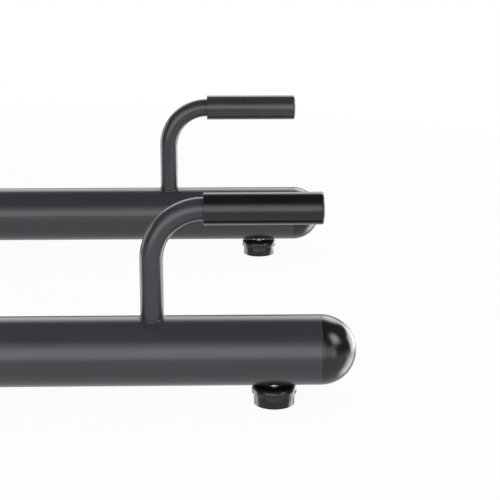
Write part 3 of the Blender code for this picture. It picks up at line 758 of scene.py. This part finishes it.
# %% Threaded stud
THREAD_PITCH = 0.00175
THREAD_DEPTH = 0.0009
TOOTH = ((1, 0.38), (0, 0.18), (-1, 0.38), (0, 0.06))
STUD_LOW, STUD_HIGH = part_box("foot_stud_front_right")
BUTTON_HEIGHT = 0.004
BUTTON_RADIUS = 0.009
NECK_RADIUS = 0.0061
NECK_FLARE = 0.00062
NECK_TOP = DISC_HIGH.z + 0.0025
STUD_EDGE = 0.0005
STUD_TIP = 0.0008
UNDER_THREAD = 0.0001


def foot_stud():
    root = STUD_RADIUS - THREAD_DEPTH
    stud = point("foot_stud", root, NECK_TOP)
    for outward, up in TOOTH:
        pull((outward * THREAD_DEPTH, 0, up * THREAD_PITCH))
    bpy.ops.object.mode_set(mode="OBJECT")
    turns = int((STUD_HIGH.z - NECK_TOP) / THREAD_PITCH) - 1
    changed(stud, "Thread", "SCREW", screw_offset=THREAD_PITCH, iterations=turns, steps=40, render_steps=40,
            use_merge_vertices=True, merge_threshold=SAME_POINT)
    bpy.ops.object.mode_set(mode="EDIT")
    closed(stud)
    heel, button_top, core = STUD_LOW.z, STUD_LOW.z + BUTTON_HEIGHT, root - UNDER_THREAD
    section = [(0, heel), (BUTTON_RADIUS - STUD_EDGE, heel), (BUTTON_RADIUS, heel + STUD_EDGE)]
    section += [(BUTTON_RADIUS, button_top - STUD_EDGE), (BUTTON_RADIUS - STUD_EDGE, button_top)]
    section += [(STUD_RADIUS, button_top), (STUD_RADIUS, DISC_HIGH.z - 2 * STUD_EDGE)]
    section += [(NECK_RADIUS + NECK_FLARE, DISC_HIGH.z - STUD_EDGE), (NECK_RADIUS, NECK_TOP)]
    section += [(core, NECK_TOP + STUD_EDGE), (core, STUD_HIGH.z - STUD_TIP), (core - STUD_TIP, STUD_HIGH.z)]
    shank = turned("stud_core", [*section, (0, STUD_HIGH.z)], 48)
    only(stud)
    shank.select_set(True)
    bpy.ops.object.join()
    return stud


parts = {"foot_pad": (foot_pad(), "foot_rubber"), "foot_disc": (foot_disc(), "foot_plastic"),
         "foot_stud": (foot_stud(), "zinc_steel")}
for corner, ahead, across in CORNERS:
    for part, (model, slot) in parts.items():
        stand_in(model, f"{part}_{corner}", Matrix.Translation((ahead * FOOT_X, across * RAIL_Y, 0)), slot)
discard(*(model for model, slot in parts.values()))
print("4 levelling feet, of 3 parts each")

# %% [markdown]
# ## Uprights and cross tubes
#
# The uprights are 60 mm tubes that rise from the rails, bend forward by 45 degrees at the top and end in
# domed caps. A cross tube behind them ties the rails, and two thinner crossmembers tie the uprights and
# carry the back pad. All joints are welded.

# %% Uprights
UPRIGHT_RADIUS = 0.030
UPRIGHT_BEND_HEIGHT = 1.720
UPRIGHT_BEND = 0.200
UPRIGHT_LEAN = 45
UPRIGHT_TOP = 0.350
CAP_LIFT = 0.0003
LEAN = Vector((math.sin(math.radians(UPRIGHT_LEAN)), 0, math.cos(math.radians(UPRIGHT_LEAN))))
BEND_CENTRE = Vector((UPRIGHT_X + UPRIGHT_BEND, 0, UPRIGHT_BEND_HEIGHT))
BEND_END = BEND_CENTRE + UPRIGHT_BEND * Vector((-LEAN.z, 0, LEAN.x))
UPRIGHT_END = BEND_END + UPRIGHT_TOP * LEAN


def upright():
    start = Vector((UPRIGHT_X, -RAIL_Y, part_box("upright_right")[0].z))
    tube = ring("upright_right_model", UPRIGHT_RADIUS, start, Z, 96)
    pull((UPRIGHT_BEND_HEIGHT - start.z) * Z)
    turn(BEND_CENTRE - RAIL_Y * Y, Y, UPRIGHT_LEAN, 24)
    pull(UPRIGHT_TOP * LEAN)
    return soften(closed(tube), SEAM, 2)


on_both_sides(upright(), "upright", "frame_paint")
cap = domed_cap("upright_cap", UPRIGHT_RADIUS)
for side, across in SIDES:
    place = along(LEAN, UPRIGHT_END + across * RAIL_Y * Y + CAP_LIFT * LEAN)
    stand_in(cap, f"upright_cap_{side}", place, "cap_plastic")
    start = (UPRIGHT_X, across * RAIL_Y, RAIL_HEIGHT)
    weld_bead(f"upright_weld_{side}", start, Z, UPRIGHT_RADIUS, X, RAIL_RADIUS, BASE_BEAD, f"upright_{side}")
discard(cap)
print("uprights end at", [round(value, 3) for value in UPRIGHT_END])

# %% Cross tubes
def cross_tube(node, weld_name, main_axis, main_radius, bead):
    """A tube across the station between two main tubes, with a bead at each end."""
    radius = size_of(node).z / 2
    centre = centre_of(node)
    tube = ring(f"{node}_model", radius, (centre.x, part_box(node)[0].y, centre.z), Y, 80)
    pull(size_of(node).y * Y)
    dress(closed(tube), node, "frame_paint")
    for side, across in SIDES:
        joint = (centre.x, across * RAIL_Y, centre.z)
        weld_bead(f"{weld_name}_{side}", joint, -across * Y, radius, main_axis, main_radius, bead, node)


cross_tube("base_cross_tube", "cross_tube_weld", X, RAIL_RADIUS, BASE_BEAD)
for level in ("lower", "upper"):
    cross_tube(f"crossmember_{level}", f"{level}_member_weld", Z, UPRIGHT_RADIUS, MEMBER_BEAD)
print("3 cross tubes, 6 beads")

# %% [markdown]
# ## Dip arms
#
# Each arm is a 40 mm tube welded to a half shell that hugs the upright, and two bolts pull it tight. The
# shell is half of a pulled ring: the rear half is cut away with bisect, Solidify gives it its wall, and a
# bevel eases the edges.

# %% Dip arms
ARM_RADIUS = 0.020
SHELL_WALL = 0.005
SHELL_HALF_HEIGHT = 0.065
SHELL_GAP = 0.0003
SHELL_RADIUS = UPRIGHT_RADIUS + SHELL_GAP + SHELL_WALL
SHELL_FROM_MIDDLE = 0.003
SHELL_EASE = 0.0009
ARM_EASE = 0.0005
ARM_WALL = 0.003
ARM_SOCKET = 0.030


def arm_shell():
    bottom = Vector((UPRIGHT_X, -RAIL_Y, ARM_HEIGHT - SHELL_HALF_HEIGHT))
    shell = ring("arm_shell", SHELL_RADIUS, bottom, Z, 96)
    pull(2 * SHELL_HALF_HEIGHT * Z)
    bpy.ops.mesh.select_all(action="SELECT")
    cut = (UPRIGHT_X + SHELL_FROM_MIDDLE, 0, 0)
    bpy.ops.mesh.bisect(plane_co=cut, plane_no=(1, 0, 0), clear_inner=True)
    turn_faces_out()
    return soften(changed(shell, "Wall", "SOLIDIFY", thickness=SHELL_WALL), SHELL_EASE, 3, 50)


def dip_arm():
    shell = arm_shell()
    start = Vector((UPRIGHT_X + SHELL_RADIUS - SHELL_WALL / 2, -RAIL_Y, ARM_HEIGHT))
    tube = ring("arm_tube", ARM_RADIUS, start, X, 80)
    pull((ARM_END - start.x) * X)
    bpy.ops.mesh.edge_face_add()
    bpy.ops.mesh.inset(thickness=ARM_WALL)
    pull(-ARM_SOCKET * X)
    soften(closed(tube), ARM_EASE, 2, 50)
    shell.select_set(True)
    bpy.ops.object.join()
    return tube


on_both_sides(dip_arm(), "dip_arm", "frame_paint")
weld_both("arm_weld", "dip_arm", UPRIGHT_X, ARM_HEIGHT, X, ARM_RADIUS, Z, SHELL_RADIUS, ARM_BEAD)
print("dip arms reach", round(ARM_END - UPRIGHT_X, 3))

# %% [markdown]
# ## Bolts and nuts
#
# A hexagon head is a cylinder of six sides whose top is pulled in for the chamfer, over a round flange and
# a round shank. A nut has a collar in place of the shank. Chamfers, flanges and collars keep the same
# shares of the width across flats, so each size is given by three numbers.

# %% Bolts and nuts
WASHER_FACE = 0.0006
CHAMFER_SHARE = 0.03
CHAMFER_TAPER = 0.88
FLANGE_SHARE = 0.47
COLLAR_SHARE = 0.44
NUT_HEX_SHARE = 0.78
SHANK_OVERLAP = 0.001
BOLT_EASE = 0.0003
ARM_BOLT = {"flats": 0.017, "head": 0.0064, "radius": 0.005}
PAD_BOLT = {"flats": 0.013, "head": 0.0053, "radius": 0.004}


def hexagon(flats, height):
    """A chamfered hexagon on its flange, left open in edit mode."""
    shoulder = height - CHAMFER_SHARE * flats
    nothing_selected()
    cylinder(6, flats / math.sqrt(3), WASHER_FACE, shoulder)
    piece = opened("hexagon")
    pick("FACE", lambda middle: middle.z > shoulder - HAIR)
    pull((0, 0, height - shoulder))
    bpy.ops.transform.resize(value=(CHAMFER_TAPER, CHAMFER_TAPER, 1))
    cylinder(48, FLANGE_SHARE * flats, 0, WASHER_FACE)
    return piece


def hex_bolt(node, flats, head, radius):
    """A bolt as long as a node, with its seat at zero, its head towards +Z and its shank towards -Z."""
    piece = hexagon(flats, head)
    cylinder(48, radius, head - max(size_of(node)), SHANK_OVERLAP)
    return soften(closed(piece), BOLT_EASE, 2, 25)


def lock_nut(flats, height):
    piece = hexagon(flats, NUT_HEX_SHARE * height)
    cylinder(48, COLLAR_SHARE * flats, 0, height)
    return soften(closed(piece), BOLT_EASE, 2, 25)


def set_bolt(model, node, head_side, head):
    """Copies a bolt to its node, with its seat one head below the end on the head's side."""
    half_length = abs(size_of(node).dot(head_side)) / 2
    seat = centre_of(node) + (half_length - head) * head_side
    stand_in(model, node, along(head_side, seat), "zinc_steel", BOLT_ZINC)


nut_height = size_of("arm_nut_upper_right").x
arm_bolt = hex_bolt("arm_bolt_upper_right", **ARM_BOLT)
arm_nut = lock_nut(ARM_BOLT["flats"], nut_height)
for level in ("upper", "lower"):
    for side, across in SIDES:
        set_bolt(arm_bolt, f"arm_bolt_{level}_{side}", X, ARM_BOLT["head"])
        set_bolt(arm_nut, f"arm_nut_{level}_{side}", -X, nut_height)
pad_bolt = hex_bolt("back_pad_bolt_upper", **PAD_BOLT)
for level in ("upper", "lower"):
    set_bolt(pad_bolt, f"back_pad_bolt_{level}", -X, PAD_BOLT["head"])
arm_pad_bolt = hex_bolt("forearm_bolt_front_right", **PAD_BOLT)
for corner, ahead, across in CORNERS:
    set_bolt(arm_pad_bolt, f"forearm_bolt_{corner}", -Z, PAD_BOLT["head"])
discard(arm_bolt, arm_nut, pad_bolt, arm_pad_bolt)
print("10 bolts and 4 nuts")

# %% [markdown]
# ## Arm handles and ribbed grips
#
# A bent tube slides into each arm, carries the dip grip, and turns up to carry the knee-raise grip. A
# ribbed grip's section is a straight run with shallow round grooves between two plain ends.

# %% Ribbed grips
GROOVE_PITCH = 0.008
GROOVE_DEPTH = 0.0009
GROOVE_HALF = 0.0016
GROOVE_SHAPE = ((0, -1), (0.7, -0.5), (1, 0), (0.7, 0.5), (0, 1))
PLAIN_END = 0.014
GRIP_EDGE = 0.0016
BORE_START = 0.004
RIBBED_FIT = 0.0002


def ribbed_grip(name, radius, length, bore, closed_end=True):
    grooves = int((length - 2 * PLAIN_END) / GROOVE_PITCH)
    first = (length - (grooves - 1) * GROOVE_PITCH) / 2
    section = [(radius - GRIP_EDGE, 0)] + arc((radius - GRIP_EDGE, GRIP_EDGE), GRIP_EDGE, -90, 0, 4)[1:]
    for groove in range(grooves):
        middle = first + groove * GROOVE_PITCH
        section += [(radius - deep * GROOVE_DEPTH, middle + up * GROOVE_HALF) for deep, up in GROOVE_SHAPE]
    section += arc((radius - GRIP_EDGE, length - GRIP_EDGE), GRIP_EDGE, 0, 90, 4)
    if closed_end:
        section = [(0, BORE_START), (bore, BORE_START), (bore, 0), *section, (0, length)]
    else:
        section = [(bore, 0), *section, (bore, length), (bore, 0)]
    return turned(name, section, 80)


# %% Arm handles
ARM_TUBE_RADIUS = 0.0167
HANDLE_INSERT = 0.060
ARM_BEND = 0.057
GRIP_SPACE = 0.006


def arm_handle():
    knee_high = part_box("knee_grip_right")[1].z
    bend_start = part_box("dip_grip_right")[1].x + GRIP_SPACE
    start_x = ARM_END - HANDLE_INSERT
    tube = ring("arm_handle_right_model", ARM_TUBE_RADIUS, (start_x, -RAIL_Y, ARM_HEIGHT), X, 72)
    pull((bend_start - start_x) * X)
    turn((bend_start, -RAIL_Y, ARM_HEIGHT + ARM_BEND), Y, -90, 32)
    pull((knee_high - GRIP_WALL - ARM_HEIGHT - ARM_BEND) * Z)
    return closed(tube)


on_both_sides(arm_handle(), "arm_handle", "frame_paint")
bore = ARM_TUBE_RADIUS + RIBBED_FIT
size = size_of("dip_grip_right")
dip_grip = ribbed_grip("dip_grip", size.z / 2, size.x, bore, closed_end=False)
dip_place = along(X, (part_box("dip_grip_right")[0].x, -RAIL_Y, ARM_HEIGHT))
on_both_sides(moved(dip_grip, dip_place), "dip_grip", "grip_rubber")
size = size_of("knee_grip_right")
knee_grip = ribbed_grip("knee_grip", size.x / 2, size.z, bore)
knee_place = along(Z, (centre_of("knee_grip_right").x, -RAIL_Y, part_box("knee_grip_right")[0].z))
on_both_sides(moved(knee_grip, knee_place), "knee_grip", "grip_rubber")
print("arm handles with two ribbed grips each")

# %% [markdown]
# ## Pull-up bar
#
# The bar goes through both uprights, and its ends droop so that the wrists lie straight. It is one ring,
# pulled and turned from the right end to the left. A bead closes the joint on each side of each upright.

# %% Pull-up bar
BAR_RADIUS = 0.0167
BAR_FROM_END = 0.060
BAR_STRAIGHT = 0.045
BAR_BEND = 0.090
BAR_DROOP = 25
BAR_END = 0.176
BAR_GRIP_RADIUS = 0.0215
BAR_GRIP_LENGTH = 0.150
BAR_CENTRE = UPRIGHT_END - BAR_FROM_END * LEAN
DROOP = math.radians(BAR_DROOP)


def bar_end(across):
    """Where the bar's end lies, and the direction in which it leaves."""
    outward = Vector((0, across * math.cos(DROOP), -math.sin(DROOP)))
    bend_start = BAR_CENTRE + across * (RAIL_Y + BAR_STRAIGHT) * Y
    bend_end = bend_start + BAR_BEND * Vector((0, across * math.sin(DROOP), math.cos(DROOP) - 1))
    return bend_end + BAR_END * outward, outward


def pullup_bar():
    right, outward = bar_end(-1)
    bar = ring("pullup_bar_model", BAR_RADIUS, right, -outward, 80)
    pull(-BAR_END * outward)
    to_bend = (RAIL_Y + BAR_STRAIGHT) * Y
    turn(BAR_CENTRE - to_bend - BAR_BEND * Z, X, -BAR_DROOP, 16)
    pull(2 * to_bend)
    turn(BAR_CENTRE + to_bend - BAR_BEND * Z, X, -BAR_DROOP, 16)
    pull(BAR_END * bar_end(1)[1])
    return closed(bar)


dress(pullup_bar(), "pullup_bar", "frame_paint")
bar_grip = ribbed_grip("pullup_grip", BAR_GRIP_RADIUS, BAR_GRIP_LENGTH, BAR_RADIUS + RIBBED_FIT)
for side, across in SIDES:
    end, outward = bar_end(across)
    place = along(outward, end + (GRIP_WALL - BAR_GRIP_LENGTH) * outward)
    stand_in(bar_grip, f"pullup_grip_{side}", place, "grip_rubber")
    joint = BAR_CENTRE + across * RAIL_Y * Y
    for way, sign in (("outer", 1), ("inner", -1)):
        name = f"bar_weld_{way}_{side}"
        weld_bead(name, joint, sign * Y, BAR_RADIUS, LEAN, UPRIGHT_RADIUS, BAR_BEAD, "pullup_bar")
discard(bar_grip)
print("pull-up bar at", round(BAR_CENTRE.z, 3))

# %% [markdown]
# ## Boards
#
# The pads are bolted down through plywood boards. A board is a cube brought to size, its four corners
# rounded with the bevel operator, and all its edges eased a little, as a router does.

# %% Boards
BOARD_EASE = 0.0012
BACK_CORNER = 0.035
ARM_CORNER = 0.025
UP_FRONT = Matrix(((0, 0, 1, 0), (1, 0, 0, 0), (0, 1, 0, 0), (0, 0, 0, 1)))
SIDEWAYS = Matrix.Rotation(math.pi / 2, 4, "Z")


def round_edges(test, radius, segments):
    pick("EDGE", test)
    bpy.ops.mesh.bevel(offset=radius, segments=segments, affect="EDGES")


def block(name, size, corner, segments):
    """A plate on the floor plane, left open: width along X, length along Y, thickness along Z."""
    thickness = size[2]
    nothing_selected()
    bpy.ops.mesh.primitive_cube_add(size=1, scale=size, location=(0, 0, thickness / 2))
    piece = opened(name)
    round_edges(lambda middle: abs(middle.z - thickness / 2) < HAIR, corner, segments)
    return piece


def board(name, node, corner):
    thickness, width, length = sorted(size_of(node))
    return soften(closed(block(name, (width, length, thickness), corner, 10)), BOARD_EASE, 2, 50)


def standing(node):
    """Where a plate stands that covers a node's rear face."""
    return Matrix.Translation((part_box(node)[0].x, 0, centre_of(node).z)) @ UP_FRONT


def lying(node):
    """Where a plate lies that covers a node's underside on the right."""
    return Matrix.Translation((centre_of(node).x, -RAIL_Y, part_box(node)[0].z)) @ SIDEWAYS


back_board = moved(board("back_board_model", "back_board", BACK_CORNER), standing("back_board"))
dress(back_board, "back_board", "pad_board", STANDING_PLY)
arm_board = moved(board("forearm_board", "forearm_board_right", ARM_CORNER), lying("forearm_board_right"))
on_both_sides(arm_board, "forearm_board", "pad_board", material=LYING_PLY)
print("3 boards")

# %% [markdown]
# ## Stuffed pads
#
# A pad is foam under stretched vinyl: crowned in the middle, rounded at the rim, and drawn in along its
# sides between the corners. A block would never show that, so the cover is blown up as cloth. The block is
# remeshed in small even squares, its back is pinned to the board, and a little pressure swells the rest for
# twenty frames. The swelling is capped, so that the pad stays in its place.

# %% Stuffed pads
VOXEL = 0.005
SWELL_CAP = 0.009
SIM_FRAMES = 20
PRESSURE = 4.0
PAD_BACK_EDGE = 0.004
PAD_MARGIN = 0.006
PINNED_HEIGHT = 0.002
BACK_PAD = {"corner": 0.040, "rim": 0.018, "draw": 0.010, "crown": 0.008}
ARM_PAD = {"corner": 0.030, "rim": 0.016, "draw": 0.006, "crown": 0.007}


def pad_blank(name, size, corner, rim, draw):
    """The cover before it is filled: a block with round corners, a soft rim and sides drawn in at the top."""
    width, length, thickness = size
    piece = block(name, size, corner, 8)
    round_edges(lambda middle: middle.z > thickness - HAIR, rim, 6)
    round_edges(lambda middle: middle.z < HAIR, PAD_BACK_EDGE, 2)
    closed(piece)
    piece.data.remesh_voxel_size = VOXEL
    bpy.ops.object.voxel_remesh()
    for vert in piece.data.vertices:
        across, up = 2 * vert.co.x / width, 2 * vert.co.y / length
        lifted = min(vert.co.z / thickness, 1)
        vert.co.x -= across * lifted * draw * (1 - up**2)
        vert.co.y -= up * lifted * draw * (1 - across**2)
    return piece


def filled(piece):
    """Swells a pad's cover as cloth and keeps the result in its mesh."""
    pinned = piece.vertex_groups.new(name="on the board")
    pinned.add([vert.index for vert in piece.data.vertices if vert.co.z < PINNED_HEIGHT], 1.0, "REPLACE")
    rest = [vert.co.copy() for vert in piece.data.vertices]
    only(piece)
    cover = piece.modifiers.new("Cover", "CLOTH")
    cover.settings.use_pressure = True
    cover.settings.uniform_pressure_force = PRESSURE
    cover.settings.effector_weights.gravity = 0
    cover.settings.vertex_group_mass = pinned.name
    cover.settings.quality = 4
    cover.point_cache.frame_end = SIM_FRAMES
    for step in range(1, SIM_FRAMES + 1):
        bpy.context.scene.frame_set(step)
    bpy.ops.object.modifier_apply(modifier=cover.name)
    bpy.context.scene.frame_set(1)
    furthest = 0
    for vert, start in zip(piece.data.vertices, rest):
        step = vert.co - start
        furthest = max(furthest, step.length)
        if step.length > SWELL_CAP:
            vert.co = start + step * SWELL_CAP / step.length
    print(piece.name, "swelled by", round(1000 * furthest, 1), "mm at most")


def pad(name, node, place, corner, rim, draw, crown):
    thickness, width, length = sorted(size_of(node))
    size = (width - PAD_MARGIN, length - PAD_MARGIN, thickness - crown)
    piece = pad_blank(name, size, corner, rim, draw)
    filled(piece)
    changed(piece, "Smooth", "SUBSURF", levels=1, render_levels=1)
    bpy.ops.object.shade_smooth()
    return moved(piece, place)


back_pad = pad("back_pad_model", "back_pad", standing("back_pad"), **BACK_PAD)
dress(back_pad, "back_pad", "pad_vinyl")
arm_pad = pad("forearm_pad", "forearm_pad_right", lying("forearm_pad_right"), **ARM_PAD)
for piece in on_both_sides(arm_pad, "forearm_pad", "pad_vinyl"):
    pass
print("3 stuffed pads")

# %% [markdown]
# ## Studio
#
# The photograph is a product shot on pure white. The camera sees a white floor and a white backdrop, and
# the floor takes a soft shadow, which fades out with the distance. The pale bands on the tubes are mirror
# images of the studio: a wide light low in front, a soft box high on the right, and white panels to the
# sides and behind, under a dark ceiling. Only reflections see those panels, so they are drawn in the world
# by direction, and the floor doesn't hide the low ones.

# %% Floor
FLOOR_SHADE = 0.06
SHADE_FADES = (0.9, 1.9)


def floor():
    nothing_selected()
    bpy.ops.mesh.primitive_plane_add(size=30, location=(0, 0, 0))
    ground = bpy.context.object
    ground.name = "floor"
    finish = Finish("white studio floor", {"Roughness": 0.9, "Specular IOR Level": 0.0})
    shade = finish.noise(3.0)
    finish.feed("Base Color", finish.blend(shade, (0.93, 0.93, 0.93), (0.95, 0.95, 0.95)))
    kinds = ("Camera", "Glossy", "Transmission")
    camera, glossy, through = (finish.add("LightPath", output=f"Is {kind} Ray") for kind in kinds)
    seen = camera.larger(glossy).larger(through)
    glow = finish.add("Emission", {"Color": (1, 1, 1, 1), "Strength": 1.0})
    body = Wire(finish.tree, finish.shader.outputs["BSDF"])
    distance = finish.add("VectorMath", {0: finish.place}, output="Value", operation="LENGTH")
    shade_shown = FLOOR_SHADE * (1 - distance.ramp(*SHADE_FADES))
    mixed = finish.add("MixShader", {0: (1 - shade_shown) * seen, 1: body, 2: glow})
    finish.tree.links.new(mixed.socket, finish.tree.nodes["Material Output"].inputs["Surface"])
    ground.data.materials.append(finish.material)
    ground.visible_glossy = False


floor()

# %% [markdown]
# Each panel has its range of compass angles and of heights, both in degrees, the softness of its edges and
# its brightness. The compass starts at -Y, the camera's side, and grows towards +X, the front. The lower
# half of the world is the white floor as the mirror sees it.

# %% World
PANELS = (
    ((-48, 10), (-6.5, 26), 6, 2.5),
    ((10, 47), (-6, 24), 8, 1.6),
    ((33, 48), (-8, 7), 8, 0.9),
    ((-60, 15), (26, 41), 9, 1.3),
    ((46, 76), (29, 57), 11, 5.7),
    ((110, 152), (-14, 16), 6, 5.4),
    ((93, 132), (-52, -16), 9, 4.1),
    ((144, 174), (17, 47), 9, 4.5),
    ((152, 174), (-6, 14), 7, 0.6),
    ((176, 200), (14, 45), 9, 2.6),
    ((-200, -138), (14, 45), 9, 2.6),
    ((-136, -103), (-62, 20), 4, 2.6),
)
HORIZON = (4, -13)
FLOOR_IN_MIRROR = 0.80
CEILING_IN_MIRROR = 0.07
PLAIN_LIGHT = 0.50


def studio_world():
    world = bpy.data.worlds.new("studio")
    bpy.context.scene.world = world
    world.use_nodes = True
    tree = world.node_tree
    direction = add_node(tree, "TexCoord", output="Generated")
    east, north, up = (add_node(tree, "SeparateXYZ", {0: direction}, output=axis) for axis in range(3))
    compass = east.maths("ARCTAN2", 0 - north).maths("DEGREES")
    height = up.maths("ARCSINE").maths("DEGREES")
    in_mirror = CEILING_IN_MIRROR + (FLOOR_IN_MIRROR - CEILING_IN_MIRROR) * height.ramp(*HORIZON)
    for (left, right), (low, high), soft, brightness in PANELS:
        across = compass.ramp(left - soft, left + soft) * compass.ramp(right + soft, right - soft)
        upwards = height.ramp(low - soft, low + soft) * height.ramp(high + soft, high - soft)
        in_mirror = in_mirror + brightness * across * upwards
    camera = add_node(tree, "LightPath", output="Is Camera Ray")
    mirror = add_node(tree, "LightPath", output="Is Glossy Ray")
    strength = camera + (1 - camera) * (mirror * in_mirror + (1 - mirror) * PLAIN_LIGHT)
    background = tree.nodes["Background"]
    tree.links.new(strength.socket, background.inputs["Strength"])
    background.inputs["Color"].default_value = (1, 1, 1, 1)


studio_world()
print(f"{len(PANELS)} panels in the world")

# %% [markdown]
# The lamps give the matt part of the light. In reflections the panels stand for them.

# %% Lamps
AIM = Vector((0.42, -0.15, 0.10))


def lamp(name, place, size, brightness):
    """A soft light that faces the base. Its power follows from its width, its height and its brightness."""
    light = bpy.data.lights.new(name, "AREA")
    light.shape = "RECTANGLE"
    light.size, light.size_y = size
    light.energy = math.pi * size[0] * size[1] * brightness
    holder = bpy.data.objects.new(name, light)
    holder.location = place
    holder.rotation_euler = (AIM - Vector(place)).to_track_quat("-Z", "Y").to_euler()
    holder.visible_camera = False
    holder.visible_glossy = False
    bpy.context.scene.collection.objects.link(holder)


lamp("front light", (0.45, -4.2, 1.35), (6.4, 2.3), 1.5)
lamp("soft box on the right", (2.6, -1.4, 2.3), (1.2, 1.5), 4.0)
lamp("ceiling light", (0.2, 0.0, 4.6), (4.0, 4.0), 0.7)
print("3 lamps")

# %% [markdown]
# ## Camera
#
# The camera was matched to the photograph: it stands beside the front of the rails, on the station's right,
# with a long lens, and looks a little down. It sees only the front end of the base.

# %% Camera
CAMERA_LENS = 105.81
CAMERA_SENSOR = 36
CAMERA_PLACE = (0.4330, -1.7949, 0.5915)
CAMERA_TILT = math.radians(74.338)
CAMERA_PAN = math.radians(-1.248)

view = bpy.data.cameras.new("camera")
view.lens = CAMERA_LENS
view.sensor_width = CAMERA_SENSOR
camera = bpy.data.objects.new("camera", view)
camera.location = CAMERA_PLACE
camera.rotation_euler = (CAMERA_TILT, 0, CAMERA_PAN)
bpy.context.scene.collection.objects.link(camera)
bpy.context.scene.camera = camera
bpy.context.scene.view_settings.view_transform = "Standard"
